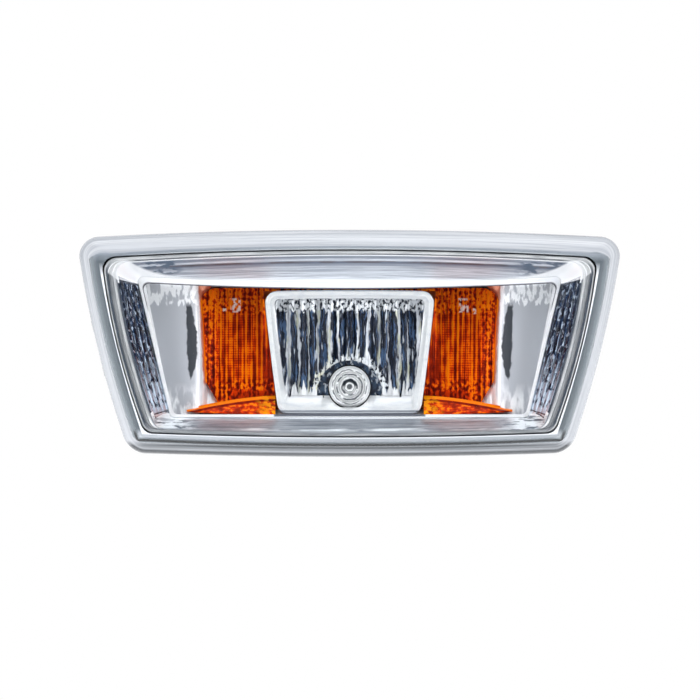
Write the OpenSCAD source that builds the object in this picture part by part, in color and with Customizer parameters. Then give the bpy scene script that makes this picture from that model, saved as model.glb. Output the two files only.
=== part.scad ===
// Wing-mounted indicator lamp with a clear domed lens, a metallised reflector, an amber filter
// and a capless wedge bulb in a quarter-turn holder.
// The front faces -Y, +Z is up, and the wing's outer surface is the plane y = 0.

/* [Lamp outline] */
// Width of the lens at half height
lamp_w = 116; // [100:1:140]
// Height of the lens at the middle
lamp_h = 52; // [46:1:62]
// Lean of the two ends from the upright, in degrees
side_lean = 13.9; // [6:0.1:18]
// Rise of the top edge at the middle
top_bow = 1.8; // [0:0.1:3]
// Drop of the bottom edge at the middle
bottom_bow = 1.4; // [0:0.1:3]
// Bulge of each end at half height
side_bow = 1.4; // [0:0.1:3]
// Radius of the upper corners
top_corner_r = 3.8; // [3:0.1:7]
// Radius of the lower corners
bottom_corner_r = 4.8; // [3:0.1:8]
// Smallest corner radius of the pieces inside
inner_corner_r = 2.4; // [1:0.1:4]

/* [Lens] */
// Height of the lens above the wing
lens_proud = 11.5; // [11:0.5:16]
// Radius of the dome
dome_r = 700; // [500:10:1500]
// Wall of the dome
lens_wall = 2.2; // [1.6:0.1:2.6]
// Wall of the skirt
skirt_wall = 2.3; // [1.8:0.1:3]
// Radius of the shoulder between the dome and the skirt
shoulder_r = 3.4; // [2:0.1:3.8]
// Width of the ledge that is welded to the housing
weld_ledge = 1.1; // [0.6:0.1:1.4]

/* [Housing] */
// Thickness of the flange that the reflector's rim rests on
flange_t = 1; // [0.8:0.1:1.3]
// Height of the welded lip above the flange
lip_h = 3; // [2.6:0.1:3.2]
// Wall of the tub
tub_wall = 1.4; // [1.2:0.1:1.5]
// Distance from the lens edge to the outside of the tub
tub_inset = 4.8; // [4.6:0.1:4.9]
// Depth of the straight part of the tub behind the wing's surface
tub_straight = 6; // [4:0.5:8]
// Depth to the inner face of the rear wall
tub_depth = 15; // [14:0.5:18]
// Thickness of the rear wall
rear_wall = 2; // [1.5:0.1:3]
// Distance from the lens edge to the end of the rear wall
rear_inset = 16; // [10:0.5:17.5]
// Lean of the ends of the tub where they meet the rear wall
rear_lean = 14; // [8:0.5:20]
// Outer radius of the boss for the bulb holder
boss_r = 11.2; // [10.6:0.1:13]
// Length of the boss behind the rear wall
boss_len = 5.6; // [4:0.2:9]
// Number of stiffening gussets around the boss
gussets = 5; // [3:1:7]
// Reach of the gussets beyond the boss
gusset_reach = 5; // [3:0.5:8]
// Width of the clip's tower
tower_w = 15; // [13:0.5:18]
// Thickness of the clip's tower
tower_t = 3.2; // [3:0.1:3.4]
// Reach of the fixed hook beyond the end of the tub
hook_reach = 5; // [3:0.5:7]
// Width of the fixed hook
hook_w = 13; // [8:1:18]
// Thickness of the fixed hook
hook_t = 2.4; // [1.6:0.1:3]
// Depth of the wing's edge that the hook reaches behind
wing_t = 1.8; // [1.8:0.1:3]

/* [Reflector] */
// Wall of the reflector
reflector_wall = 1.4; // [1:0.1:1.6]
// Distance from the lens edge to the reflector's rim
rim_inset = 4.6; // [4.5:0.1:5]
// Width of the bead around the rim
bead_w = 0.8; // [0.5:0.1:1.2]
// Distance from the lens edge to the fluted side strips
strip_inset = 7.4; // [7.2:0.1:8]
// Distance from the top of the lens to the upper lid
lid_inset = 5.7; // [5.6:0.1:6.5]
// Distance from the bottom of the lens to the lower sill
sill_inset = 5.5; // [5.4:0.1:6.5]
// Width of the bright band along the lid's lower edge
nose_w = 1.6; // [0.8:0.1:2.2]
// Width of the lip at the ends of the throat
throat_lip_w = 0.7; // [0.4:0.1:1]
// Depth of the throat, where the strips, lid and sill end
throat_y = 3; // [1:0.5:4]
// Height of the lid, from the top of the lens down to the throat
lid_h = 12.1; // [10:0.1:14]
// Droop of the throat's upper edge at the middle
throat_droop = 1.4; // [0:0.1:2]
// Height of the sill, from the bottom of the lens up to the throat
sill_h = 9.3; // [8:0.1:10.5]
// Width of each end strip, from the end of the lens to the throat
strip_w = 15.3; // [12:0.1:18]
// Lean of the throat's ends
throat_lean = 16; // [8:0.5:18]
// Flutes across each side strip
strip_flutes = 4; // [2:1:6]
// Depth of the strip flutes
strip_flute_h = 0.45; // [0.1:0.05:0.8]
// Step from the throat's lip down to the pockets
lip_step = 1.6; // [1:0.1:2]
// Depth where the pockets end
pocket_y = 12.5; // [11:0.1:13]

/* [Amber filter] */
// Width of the smooth pocket between the throat's end and the panel
pocket_w = 8.7; // [7:0.1:12]
// Lean of the outer faces
amber_lean = 3; // [0:0.5:6]
// Distance from the throat's upper edge down to the panels' tops
amber_drop = 1.1; // [1:0.1:1.5]
// Rounding of the panels' upper outer corners
amber_corner_r = 4; // [2:0.5:6]
// Width of the chamfer on the panels' lower outer corners
amber_chamfer = 3.4; // [2:0.2:5]
// Height of the chamfer on the panels' lower outer corners
chamfer_rise = 5; // [3:0.5:7]
// Wall of the filter
amber_wall = 1.8; // [1.2:0.1:2.4]
// Depth of the panels' front faces
amber_y = 8.2; // [7.5:0.1:9]
// Flutes on each panel
amber_flutes = 18; // [8:1:20]
// Depth of the panel flutes
amber_flute_h = 0.35; // [0.2:0.05:0.6]
// Height of the ledge's front edge above the throat's lower edge
ledge_lift = 0.8; // [0.7:0.1:1.7]
// Rise of the ledge from its front edge to its rim beside the bowl
ledge_rise = 3.9; // [3:0.1:4.4]
// Fall of the ledge's rim from the bowl to its tip in the pocket
ledge_fall = 3.1; // [2.4:0.1:3.2]
// Rise of the ledge's front edge towards its tip
ledge_heel = 0.6; // [0.3:0.1:0.8]
// Height of the ledge's rim
ledge_rim = 0.75; // [0.5:0.05:1]

/* [Bulb bowl] */
// Half the width of the bowl's rim at half height
bowl_half_w = 18.2; // [16:0.1:20]
// Lean of the bowl's sides
bowl_lean = 6.8; // [3:0.1:9]
// Distance from the throat's upper edge down to the bowl's rim
bowl_drop = 1.9; // [1.8:0.1:3]
// Height of the bowl's rim above the throat's lower edge
bowl_lift = 0.5; // [0.4:0.1:1.5]
// Bulge of the rim's upper and lower edges
bowl_bow = 0.3; // [0.1:0.05:0.4]
// Corner radius of the bowl's rim
bowl_corner_r = 2.6; // [1.5:0.1:4]
// Depth of the bowl's rim
bowl_rim_y = 3.4; // [2:0.1:5]
// Depth of the bowl's back
bowl_back_y = 11; // [10:0.1:11.5]
// Wall of the bowl
bowl_wall = 1.2; // [0.8:0.1:1.6]
// Fall of the bowl's ceiling from the rim to the back
ceiling_fall = 2; // [1.6:0.1:3]
// Rise of the bowl's floor from the rim to the back
floor_rise = 4.2; // [3.2:0.1:5]
// Run of the bowl's sides inwards from the rim to the back
side_run = 2.3; // [1.8:0.1:4]
// Flutes across the bowl's back
bowl_flutes = 15; // [9:1:21]
// Depth of the bowl's flutes
bowl_flute_h = 0.7; // [0.3:0.05:1]
// Radius of the opening around the bulb
bowl_hole_r = 7.5; // [6.5:0.1:8]
// Distance from the bulb's axis down to the middle of the opening
bowl_hole_drop = 1.4; // [0:0.1:2]

/* [Bulb and holder] */
// Height of the bulb's axis above the bowl's lower rim
bulb_lift = 6.2; // [6:0.1:6.8]
// Radius of the bulb's glass
bulb_r = 4.8; // [4.2:0.1:5]
// Depth of the bulb's tip
bulb_tip_y = 5.4; // [4:0.1:8]
// Rings pressed into the bulb's tip
tip_rings = 4; // [2:1:6]
// Depth of the rings in the tip
tip_ring_h = 0.35; // [0.1:0.05:0.6]
// Length of the bulb from its tip to the end of its wedge
bulb_len = 26.8; // [25:0.1:28]
// Width of the wedge
wedge_w = 9.1; // [8:0.1:9.4]
// Thickness of the wedge
wedge_t = 2.5; // [2:0.1:3]
// Length of the wedge
wedge_len = 8.6; // [7:0.1:10]
// Radius of the holder's plug
plug_r = 8.2; // [7.8:0.1:8.8]
// Radius to the tips of the bayonet lugs
lug_r = 9.7; // [9.2:0.1:9.9]
// Width of each bayonet lug
lug_w = 4; // [3:0.1:5]
// Thickness of the lugs
lug_t = 1.6; // [1:0.1:2]
// Bayonet lugs
lugs = 3; // [2:1:3]
// Turn that locks the holder, in degrees
lock_turn = 32; // [30:1:36]
// Reach of the plug in front of the rear wall
plug_reach = 2.2; // [2:0.1:2.5]
// Thickness of the seal
seal_t = 1.4; // [1:0.1:2]
// Thickness of the holder's flange
holder_flange_t = 2.4; // [2:0.1:3]
// Width across the grip
grip_w = 21; // [16:1:22]
// Thickness of the grip
grip_t = 3; // [2:0.1:4]
// Length of the holder behind its flange
holder_len = 18; // [16:0.5:22]
// Width of the plug inlet's opening
inlet_w = 9; // [7:0.1:11]
// Height of the plug inlet's opening
inlet_h = 10.4; // [9:0.1:12]
// Depth of the plug inlet
inlet_depth = 9; // [7:0.5:11]
// Wall of the plug inlet
inlet_wall = 1.4; // [1:0.1:2]
// Width of the terminal blades
blade_w = 2.8; // [2:0.1:4]
// Thickness of the terminal blades
blade_t = 0.8; // [0.5:0.1:1]
// Distance between the two blades
blade_pitch = 5; // [4.6:0.1:5.6]

/* [Gasket, clip and vent] */
// Thickness of the compressed gasket
gasket_t = 1.6; // [1:0.1:2.5]
// Distance from the lens edge to the gasket
gasket_inset = 0.8; // [0.4:0.1:2]
// Thickness of the spring clip's steel
clip_t = 0.6; // [0.4:0.1:0.8]
// Width of the spring clip
clip_w = 12; // [8:1:16]
// Reach of the clip's knee beyond the end of the tub
clip_reach = 4.6; // [3:0.1:6]
// Depth of the clip's bend behind the wing's surface
clip_depth = 12; // [9:0.5:13]
// Radius of the breather patch
patch_r = 4; // [3:0.5:5]
// Thickness of the breather patch
patch_t = 0.4; // [0.2:0.1:0.6]
// Radius of the vent hole
vent_r = 1; // [0.6:0.1:1.5]
// Distance of the vent from the middle of the lamp
vent_x = 26; // [20:0.5:30]

/* [Fits] */
// Running clearance between pieces that slide together
fit_gap = 0.3; // [0.2:0.05:0.4]
// Clearance around the lip, the rim and the skirt
weld_gap = 0.15; // [0.1:0.05:0.2]

/* [Hidden] */
$fn = 64;
eps = 0.02;
corner_steps = 5;
side_steps = 6;
edge_steps = 12;

// Levels along Y, from the wing outwards and inwards
seat_y = -gasket_t;
shelf_y = seat_y - flange_t;
lip_y = shelf_y - lip_h;
rear_y = tub_depth + rear_wall;
boss_end = rear_y + boss_len;
holder_y = boss_end + seal_t;
grip_y = holder_y + holder_flange_t;
holder_end = grip_y + holder_len;
wedge_y = bulb_tip_y + bulb_len - wedge_len;
bulb_end = bulb_tip_y + bulb_len;
inlet_y = holder_end - inlet_depth;

tower_y = 0.6;
bead_drop = 0.6;
far = 60;

// Heights and half widths, out from the middle of the lamp
throat_top = lamp_h / 2 - lid_h;
throat_bottom = lamp_h / 2 - sill_h;
throat_half_w = lamp_w / 2 - strip_w;
rear_half_w = lamp_w / 2 - rear_inset;
amber_half_w = throat_half_w - pocket_w;
amber_top = throat_top - amber_drop;
ledge_front_z = throat_bottom - ledge_lift;
ledge_back_z = ledge_front_z - ledge_rise;
bowl_top = throat_top - bowl_drop;
bowl_bottom = throat_bottom - bowl_lift;
bowl_back_top = bowl_top - ceiling_fall;
bowl_back_bottom = bowl_bottom - floor_rise;
bowl_back_half_w = bowl_half_w - side_run;
bulb_drop = bowl_bottom - bulb_lift;

// Straight-sided outline that the bows are added to
base_half_w = lamp_w / 2 - side_bow;
base_top = lamp_h / 2 - top_bow;
base_bottom = -lamp_h / 2 + bottom_bow;

function mix(a, b, k) = a + (b - a) * k;

// A ring is [top, bottom, half width at z = 0, lean, top radius, bottom radius, y, top bow, bottom bow, side bow]
function half_at(q, z) = q[2] + tan(q[3]) * z;
function grown(q, by, y) = [
    q[0] + by, q[1] - by, q[2] + by / cos(q[3]), q[3],
    max(q[4] + by, 0.4), max(q[5] + by, 0.4), y, q[7], q[8], q[9]
];

// The ring that lies a distance inside the lens edge
function inset_ring(d, y) = [
    base_top - d, base_bottom + d, base_half_w - d / cos(side_lean), side_lean,
    max(top_corner_r - d, inner_corner_r), max(bottom_corner_r - d, inner_corner_r),
    y, top_bow, bottom_bow, side_bow
];

// Bows a point of the straight outline
function bowed(q, p) =
    let (
        k = (p[1] - q[1]) / (q[0] - q[1]),
        across = p[0] / half_at(q, q[0]),
        up = q[7] * k - q[8] * (1 - k),
        out = q[9] * 4 * k * (1 - k)
    )
    [p[0] + sign(p[0]) * out * min(1, abs(across) * 2), p[1] + up * (1 - across * across)];

// Points of the right half from the bottom corner to the top corner
function right_half(q) =
    let (
        zb = q[1] + q[5],
        zt = q[0] - q[4],
        cb = [half_at(q, zb) - q[5] / cos(q[3]), zb],
        ct = [half_at(q, zt) - q[4] / cos(q[3]), zt],
        start = cb + q[5] * [cos(-q[3]), sin(-q[3])],
        end = ct + q[4] * [cos(-q[3]), sin(-q[3])]
    )
    concat(
        [for (i = [0:corner_steps]) let (a = mix(-90, -q[3], i / corner_steps)) cb + q[5] * [cos(a), sin(a)]],
        [for (i = [1:side_steps - 1]) mix(start, end, i / side_steps)],
        [for (i = [0:corner_steps]) let (a = mix(-q[3], 90, i / corner_steps)) ct + q[4] * [cos(a), sin(a)]]
    );

// Closed run of points around a ring, in the XZ plane
function ring2d(q) =
    let (
        r = right_half(q),
        n = len(r),
        top = r[n - 1],
        bottom = r[0],
        l = [for (i = [0:n - 1]) [-r[n - 1 - i][0], r[n - 1 - i][1]]]
    )
    [for (p = concat(
        r,
        [for (i = [1:edge_steps - 1]) [mix(top[0], -top[0], i / edge_steps), top[1]]],
        l,
        [for (i = [1:edge_steps - 1]) [mix(-bottom[0], bottom[0], i / edge_steps), bottom[1]]]
    )) bowed(q, p)];

function ring3d(q) = [for (p = ring2d(q)) [p[0], q[6], p[1]]];

// Closed solid through a list of rings of points that run from front to back along its outside,
// capped at both ends or closed on itself
module loft(rings, closed = false) {
    n = len(rings[0]);
    m = len(rings);
    last = closed ? m : m - 1;
    sides = [for (j = [0:last - 1]) for (i = [0:n - 1])
        let (a = j * n, b = ((j + 1) % m) * n, k = (i + 1) % n)
        each [[a + i, a + k, b + i], [a + k, b + k, b + i]]];
    caps = closed ? [] : [[for (i = [0:n - 1]) n - 1 - i], [for (i = [0:n - 1]) (m - 1) * n + i]];
    polyhedron(points = [for (r = rings) each r], faces = concat(sides, caps), convexity = 10);
}

// Extrudes a drawing in X and Z from one depth to another
module slab(y0, y1) {
    translate([0, y1, 0]) rotate([90, 0, 0]) linear_extrude(y1 - y0, convexity = 10) children();
}

// Cylinder along Y on the bulb's axis
module axial(r, y0, y1) {
    translate([0, y0, -bulb_drop]) rotate([-90, 0, 0]) cylinder(r = r, h = y1 - y0);
}

module mirrored() {
    children();
    mirror([1, 0, 0]) children();
}

// Lens: a dome with a rounded shoulder and a skirt, hollow behind, with a ledge welded to the lip
function dome_y(p, r, y) = y + r - sqrt(r * r - p[0] * p[0] - p[1] * p[1]);
function dome_ring(d, scale, lift, r, y) =
    [for (p = ring2d(inset_ring(d, 0)) * scale) [p[0], dome_y(p, r, y) + lift, p[1]]];

module lens() {
    inner_d = skirt_wall + weld_ledge;
    inner_y = -lens_proud + lens_wall;
    shoulder = [for (i = [0:6]) let (a = 90 - 15 * i)
        dome_ring(shoulder_r * (1 - cos(a)), 1, shoulder_r * (1 - sin(a)), dome_r, -lens_proud)];
    dome = [for (k = [0.01, 0.2, 0.4, 0.6, 0.8]) dome_ring(shoulder_r, k, 0, dome_r, -lens_proud)];
    hollow = [for (k = [1, 0.8, 0.6, 0.4, 0.2, 0.01]) dome_ring(inner_d, k, 0, dome_r, inner_y)];
    skirt = [
        ring3d(inset_ring(0, seat_y)),
        ring3d(inset_ring(skirt_wall, seat_y)),
        ring3d(inset_ring(skirt_wall, lip_y)),
        ring3d(inset_ring(inner_d, lip_y))
    ];
    color([0.9, 0.95, 1, 0.35]) loft(concat(dome, shoulder, skirt, hollow));
}

// The tub's end, as a local frame whose X axis points out of the end wall
end_x = base_half_w - tub_inset / cos(side_lean) + side_bow;
module at_end() {
    translate([end_x, 0, 0]) rotate([0, side_lean, 0]) children();
}

// Extrudes a drawing in X and Y along Z, centred on the mid plane
module upright(h) {
    translate([0, 0, -h / 2]) linear_extrude(h, convexity = 6) children();
}

// Housing
inner_inset = tub_inset + tub_wall;
function rear_ring(by, y) = [
    base_top - tub_inset - 0.4 - by, base_bottom + tub_inset + 0.4 + by, rear_half_w - by / cos(rear_lean),
    rear_lean, inner_corner_r, inner_corner_r, y, top_bow, bottom_bow, side_bow
];

module tub_shell() {
    difference() {
        union() {
            loft([
                ring3d(inset_ring(tub_inset, shelf_y + eps)),
                ring3d(inset_ring(tub_inset, tub_straight)),
                ring3d(rear_ring(0, rear_y))
            ]);
            slab(shelf_y, seat_y) polygon(ring2d(inset_ring(skirt_wall + weld_gap, 0)));
            slab(lip_y, shelf_y + eps) polygon(ring2d(inset_ring(skirt_wall + weld_gap, 0)));
        }
        slab(lip_y - 1, shelf_y) polygon(ring2d(inset_ring(rim_inset - weld_gap, 0)));
        loft([
            ring3d(inset_ring(inner_inset, shelf_y - 0.5)),
            ring3d(inset_ring(inner_inset, tub_straight)),
            ring3d(rear_ring(tub_wall, tub_depth))
        ]);
    }
}

module gusset(angle) {
    translate([0, 0, -bulb_drop]) rotate([0, -angle, 0]) upright(1.4) polygon([
        [plug_r + 1.5, rear_y - 0.3], [boss_r + gusset_reach, rear_y - 0.3], [plug_r + 1.5, boss_end - 1]
    ]);
}

// Three keyways that the bayonet lugs slide through
module lug_set(r, w, y0, y1, turn) {
    for (i = [0:lugs - 1])
        intersection() {
            axial(r, y0, y1);
            translate([0, 0, -bulb_drop]) rotate([0, -(90 + turn + i * 360 / lugs), 0])
                translate([0, y0, -w / 2]) cube([r + 1, y1 - y0, w]);
        }
}

module hook() {
    hook_y = wing_t + fit_gap;
    mirror([1, 0, 0]) at_end() {
        translate([-1, hook_y, -hook_w / 2]) cube([hook_reach + 1, hook_t, hook_w]);
        for (z = [-hook_w / 2 + 1, hook_w / 2 - 1])
            translate([0, 0, z]) upright(1.6) polygon([
                [-0.8, hook_y + 1], [hook_reach - 1, hook_y + 1], [-0.8, tub_straight + 1.5]
            ]);
    }
}

// Tower that holds the clip's inner leg, joined to the sloping end wall by two webs
slot_x = -tower_t / 2;
end_in = rear_half_w - end_x - 1;
module clip_tower() {
    at_end() {
        translate([-tower_t, tower_y, -tower_w / 2]) cube([tower_t, clip_depth - tower_y, tower_w]);
        for (z = [-tower_w / 2 + 0.8, tower_w / 2 - 0.8])
            translate([0, 0, z]) upright(1.6) polygon([
                [-0.5, tub_straight - 2], [-0.5, clip_depth], [end_in, clip_depth], [end_in, clip_depth - 1.5]
            ]);
    }
}

module clip_slot() {
    at_end() translate([slot_x - clip_t / 2 - 0.1, tower_y + 1.2, -clip_w / 2 - fit_gap])
        cube([clip_t + 0.2, clip_depth, clip_w + 2 * fit_gap]);
}

module housing() {
    color([0.62, 0.64, 0.66]) difference() {
        union() {
            tub_shell();
            axial(boss_r, rear_y - eps, boss_end);
            for (i = [0:gussets - 1]) gusset(180 * i / (gussets - 1));
            translate([vent_x, rear_y - eps, 0]) rotate([-90, 0, 0]) difference() {
                cylinder(r = patch_r + 1.2, h = patch_t + 0.4);
                translate([0, 0, eps]) cylinder(r = patch_r + 0.2, h = 2);
            }
            hook();
            clip_tower();
        }
        clip_slot();
        axial(plug_r + fit_gap, tub_depth - 1, boss_end + 1);
        lug_set(lug_r + fit_gap, lug_w + 2 * fit_gap, tub_depth - 1, boss_end + 1, -lock_turn);
        translate([vent_x, tub_depth - 1, 0]) rotate([-90, 0, 0]) cylinder(r = vent_r, h = rear_wall + 2);
    }
}

// Reflector
function rim_q(side_d, lid_d, sill_d, y) = [
    base_top - lid_d, base_bottom + sill_d, base_half_w - side_d / cos(side_lean), side_lean,
    inner_corner_r, inner_corner_r, y, top_bow, bottom_bow, side_bow
];
bead_end = rim_inset + bead_w;
mouth = rim_q(strip_inset, lid_inset, sill_inset, lip_y + bead_drop);
throat = [
    throat_top, -throat_bottom, throat_half_w, throat_lean, 1.4, 1.4, throat_y, -throat_droop, 0, 0
];
pocket_end = [
    throat_top + 1.2, -throat_bottom - 0.3, amber_half_w + fit_gap, amber_lean, 1.2, 1.2, pocket_y,
    -throat_droop, 0, 0
];
// The funnel from the mouth (t = 0) to the throat (t = 1), with a wider band left below the lid
function funnel(t) = [
    mix(mouth[0], throat[0] + nose_w, t * (1.1 - 0.1 * t)),
    mix(mouth[1], throat[1] - 0.4, 1 - pow(1 - t, 1.8)),
    mix(mouth[2], throat[2] + throat_lip_w, t), mix(mouth[3], throat[3], t),
    mix(mouth[4], throat[4], t), mix(mouth[5], throat[5], t), mix(mouth[6], throat_y, t),
    mix(mouth[7], throat[7], t), mix(mouth[8], throat[8], t), mix(mouth[9], throat[9], t)
];
// The pockets curve in from the throat (s = 0) and then run back beside the amber panels (s = 1)
function pocket(s) = let (kx = sin(90 * s), ky = 1 - cos(90 * s)) [
    mix(throat[0], pocket_end[0], ky), mix(throat[1], pocket_end[1], ky), mix(throat[2], pocket_end[2], kx),
    mix(throat[3], pocket_end[3], kx), mix(throat[4], pocket_end[4], ky), mix(throat[5], pocket_end[5], ky),
    mix(throat_y + lip_step, pocket_y, ky), throat[7], throat[8], 0
];

// Share of the end walls in each point of a ring: 1 on the ends, 0 on the lid and the sill
half_count = 2 * corner_steps + side_steps + 1;
function end_share(i) =
    let (j = i < half_count ? i : i - half_count - edge_steps + 1)
    j < 0 || j >= half_count ? 0 : min(1, j / corner_steps, (half_count - 1 - j) / corner_steps);
function ribbed(q, h) = let (r = ring3d(q)) [for (i = [0:len(r) - 1]) r[i] - [0, h * end_share(i), 0]];

module reflector() {
    back = [
        ring3d(rim_q(rim_inset, rim_inset, rim_inset, lip_y + 0.2)),
        ring3d(rim_q(rim_inset, rim_inset, rim_inset, shelf_y)),
        ring3d(inset_ring(inner_inset + weld_gap, shelf_y)),
        ring3d(grown(funnel(1), reflector_wall, throat_y + 0.6)),
        ring3d(grown(pocket(0.4), 0.8 * reflector_wall, pocket(0.4)[6] + 0.8 * reflector_wall)),
        ring3d(grown(pocket(0.75), reflector_wall, pocket(0.75)[6] + 0.5 * reflector_wall)),
        ring3d(grown(pocket(1), reflector_wall, pocket_y))
    ];
    pockets = [for (i = [6:-1:0]) ring3d(pocket(i / 6))];
    lip = [ring3d(grown(throat, 0, throat_y)), ring3d(grown(funnel(1), -0.15, throat_y - 0.2))];
    strip = [for (i = [4 * strip_flutes:-1:0])
        ribbed(funnel(i / (4 * strip_flutes)), strip_flute_h * abs(sin(45 * i)))];
    beads = [
        ribbed(rim_q(strip_inset - 0.1, lid_inset - 0.05, sill_inset - 0.03, lip_y + bead_drop), bead_drop),
        ribbed(rim_q(strip_inset - bead_w, lid_inset - 0.1, sill_inset - 0.06, lip_y + bead_drop), bead_drop),
        ring3d(rim_q(strip_inset - bead_w - 0.2, bead_end + 0.1, bead_end + 0.04, lip_y + bead_drop)),
        ring3d(rim_q(bead_end + 0.2, bead_end + 0.05, bead_end + 0.02, lip_y + bead_drop)),
        ring3d(rim_q(bead_end, bead_end, bead_end, lip_y)),
        ring3d(rim_q(rim_inset + 0.2, rim_inset + 0.2, rim_inset + 0.2, lip_y))
    ];
    color([0.8, 0.82, 0.86]) loft(concat(back, pockets, lip, strip, beads), closed = true);
}

// Ribbed edge of a moulding, from x0 to x1, with its ribs standing h above the depth y
function flute_run(x0, x1, count, h, y) =
    [for (i = [0:6 * count]) [mix(x0, x1, i / (6 * count)), y - h * abs(sin(30 * i))]];

// Bulb bowl
bowl_rim = [
    bowl_top, -bowl_bottom, bowl_half_w, bowl_lean, bowl_corner_r, bowl_corner_r, bowl_rim_y,
    bowl_bow, bowl_bow, 0.7 * bowl_bow
];
bowl_back = [
    bowl_back_top, -bowl_back_bottom, bowl_back_half_w, bowl_lean, 1, 1, bowl_back_y,
    0.5 * bowl_bow, 0.5 * bowl_bow, 0.35 * bowl_bow
];
bowl_outer_y = bowl_back_y + bowl_wall;
post_r = 1.8;

module bowl_cup() {
    inner_front = grown(bowl_rim, -bowl_wall, bowl_rim_y);
    loft([
        ring3d(bowl_back),
        ring3d(inner_front),
        ring3d(grown(bowl_rim, -0.8 * bowl_wall, bowl_rim_y - 0.3)),
        ring3d(grown(bowl_rim, -0.3 * bowl_wall, bowl_rim_y - 0.3)),
        ring3d(bowl_rim),
        ring3d(grown(bowl_back, bowl_wall, bowl_outer_y))
    ]);
}

module bowl_ribs() {
    w = half_at(bowl_back, bowl_back_top) - 0.3;
    intersection() {
        translate([0, 0, -bowl_back_bottom + 0.1]) linear_extrude(bowl_back_top + bowl_back_bottom - 0.2)
            polygon(concat(
                flute_run(-w, w, bowl_flutes, bowl_flute_h, bowl_back_y),
                [[w, bowl_back_y + bowl_wall / 2], [-w, bowl_back_y + bowl_wall / 2]]
            ));
        slab(bowl_rim_y, bowl_outer_y) polygon(ring2d(grown(bowl_back, 0.2, 0)));
    }
}

module bulb_bowl() {
    color([0.86, 0.88, 0.92]) difference() {
        union() {
            bowl_cup();
            bowl_ribs();
            for (x = [-1, 1]) for (z = [bowl_back_top - 3, -bowl_back_bottom + 2.5])
                translate([x * (bowl_back_half_w - 2.6), bowl_outer_y - bowl_wall / 2, z]) rotate([-90, 0, 0])
                    cylinder(r = post_r, h = tub_depth - bowl_outer_y + bowl_wall / 2);
        }
        intersection() {
            translate([0, 0, -bowl_hole_drop]) axial(bowl_hole_r, bowl_back_y - 2, bowl_outer_y + 1);
            translate([-far, 0, -bowl_back_bottom]) cube([2 * far, far, far]);
        }
        axial(bulb_r + fit_gap, bulb_tip_y - 0.5, bowl_outer_y + 1);
    }
}

// Amber filter
// The front view of the right panel, shrunk by d on its outer and upper sides
function panel_face(d) =
    let (
        lean = tan(amber_lean),
        out = amber_half_w - d,
        top = amber_top - d,
        r = amber_corner_r - d / 2,
        c = [out + lean * (top - r) - r, top - r],
        low = -ledge_back_z - 1 + chamfer_rise,
        bottom = -ledge_back_z - 2.4,
        in = bowl_half_w + fit_gap,
        slope = tan(bowl_lean)
    )
    concat(
        [[in + slope * bottom, bottom], [out + lean * low - 1.1 * amber_chamfer, bottom],
         [out + lean * low - 0.85 * amber_chamfer, -ledge_back_z - 1], [out + lean * low, low]],
        [for (i = [0:6]) c + r * [cos(15 * i), sin(15 * i)]],
        [[in + slope * top, top]]
    );

module panel() {
    reach = amber_half_w + 1;
    inner = bowl_half_w - 4;
    intersection() {
        slab(amber_y - 2, amber_y + 4) polygon(panel_face(0));
        translate([0, 0, -far]) linear_extrude(2 * far) polygon(concat(
            flute_run(inner, reach, amber_flutes, amber_flute_h, amber_y),
            [[reach, amber_y + amber_wall], [inner, amber_y + amber_wall]]
        ));
    }
    // The outer side runs back to the housing's rear wall
    intersection() {
        slab(amber_y, tub_depth) difference() {
            polygon(panel_face(0));
            polygon(panel_face(amber_wall));
        }
        translate([amber_half_w - 6, 0, -ledge_back_z + 2]) cube([8, far, amber_top + ledge_back_z - 1]);
    }
}

// Crescent ledge: an apron that slopes up from the sill to a rim, and runs out to a tip along the pocket
ledge_front_y = throat_y + 0.3;
ledge_end_s = 0.8;
ledge_in = bowl_half_w + fit_gap - tan(bowl_lean) * ledge_back_z;
ledge_tip = half_at(throat, -ledge_front_z) - fit_gap;
function ledge_ring(u) =
    let (
        x = mix(ledge_in, ledge_tip, u),
        top = -ledge_back_z - ledge_fall * pow(u, 1.6),
        low = -ledge_front_z - 0.4 + ledge_heel * u * u,
        rim = ledge_rim * (1 - 0.7 * u),
        front = ledge_front_y + 0.2 * u * u,
        rim_y = amber_y - 1.8 - 0.3 * u,
        back = amber_y + 0.5 + 0.2 * u
    )
    [[x, front, low], [x, front, low + 0.4], [x, rim_y, top - rim], [x, rim_y - 0.1, top], [x, back, top],
     [x, back, top - rim - 0.1 - 0.5 * (1 - u)], [x, rim_y + 0.8, max(top - rim - 1, low + 0.06)],
     [x, front + 0.9, low + 0.02 * u]];
function pocket_x(s) = half_at(pocket(s), -ledge_front_z) - fit_gap;
module ledge() {
    back = pocket(ledge_end_s)[6];
    intersection() {
        loft([for (i = [0:9]) ledge_ring(i / 9)]);
        translate([0, 0, -far]) linear_extrude(far) polygon(concat(
            [[ledge_in - 2, back], [ledge_in - 2, ledge_front_y - 2], [pocket_x(0) - 2.8, ledge_front_y - 2],
             [pocket_x(0) - 0.4, ledge_front_y + 1]],
            [for (i = [1:5]) let (s = ledge_end_s * i / 5) [pocket_x(s), pocket(s)[6]]]
        ));
    }
}

module amber_filter() {
    bar_in = half_at(bowl_rim, amber_top) - 1;
    color([0.95, 0.42, 0.05]) union() {
        mirrored() {
            panel();
            ledge();
        }
        translate([-bar_in - 3, amber_y, bowl_top + 0.1])
            cube([2 * bar_in + 6, amber_wall, amber_top - bowl_top - 0.1]);
    }
}

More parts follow.
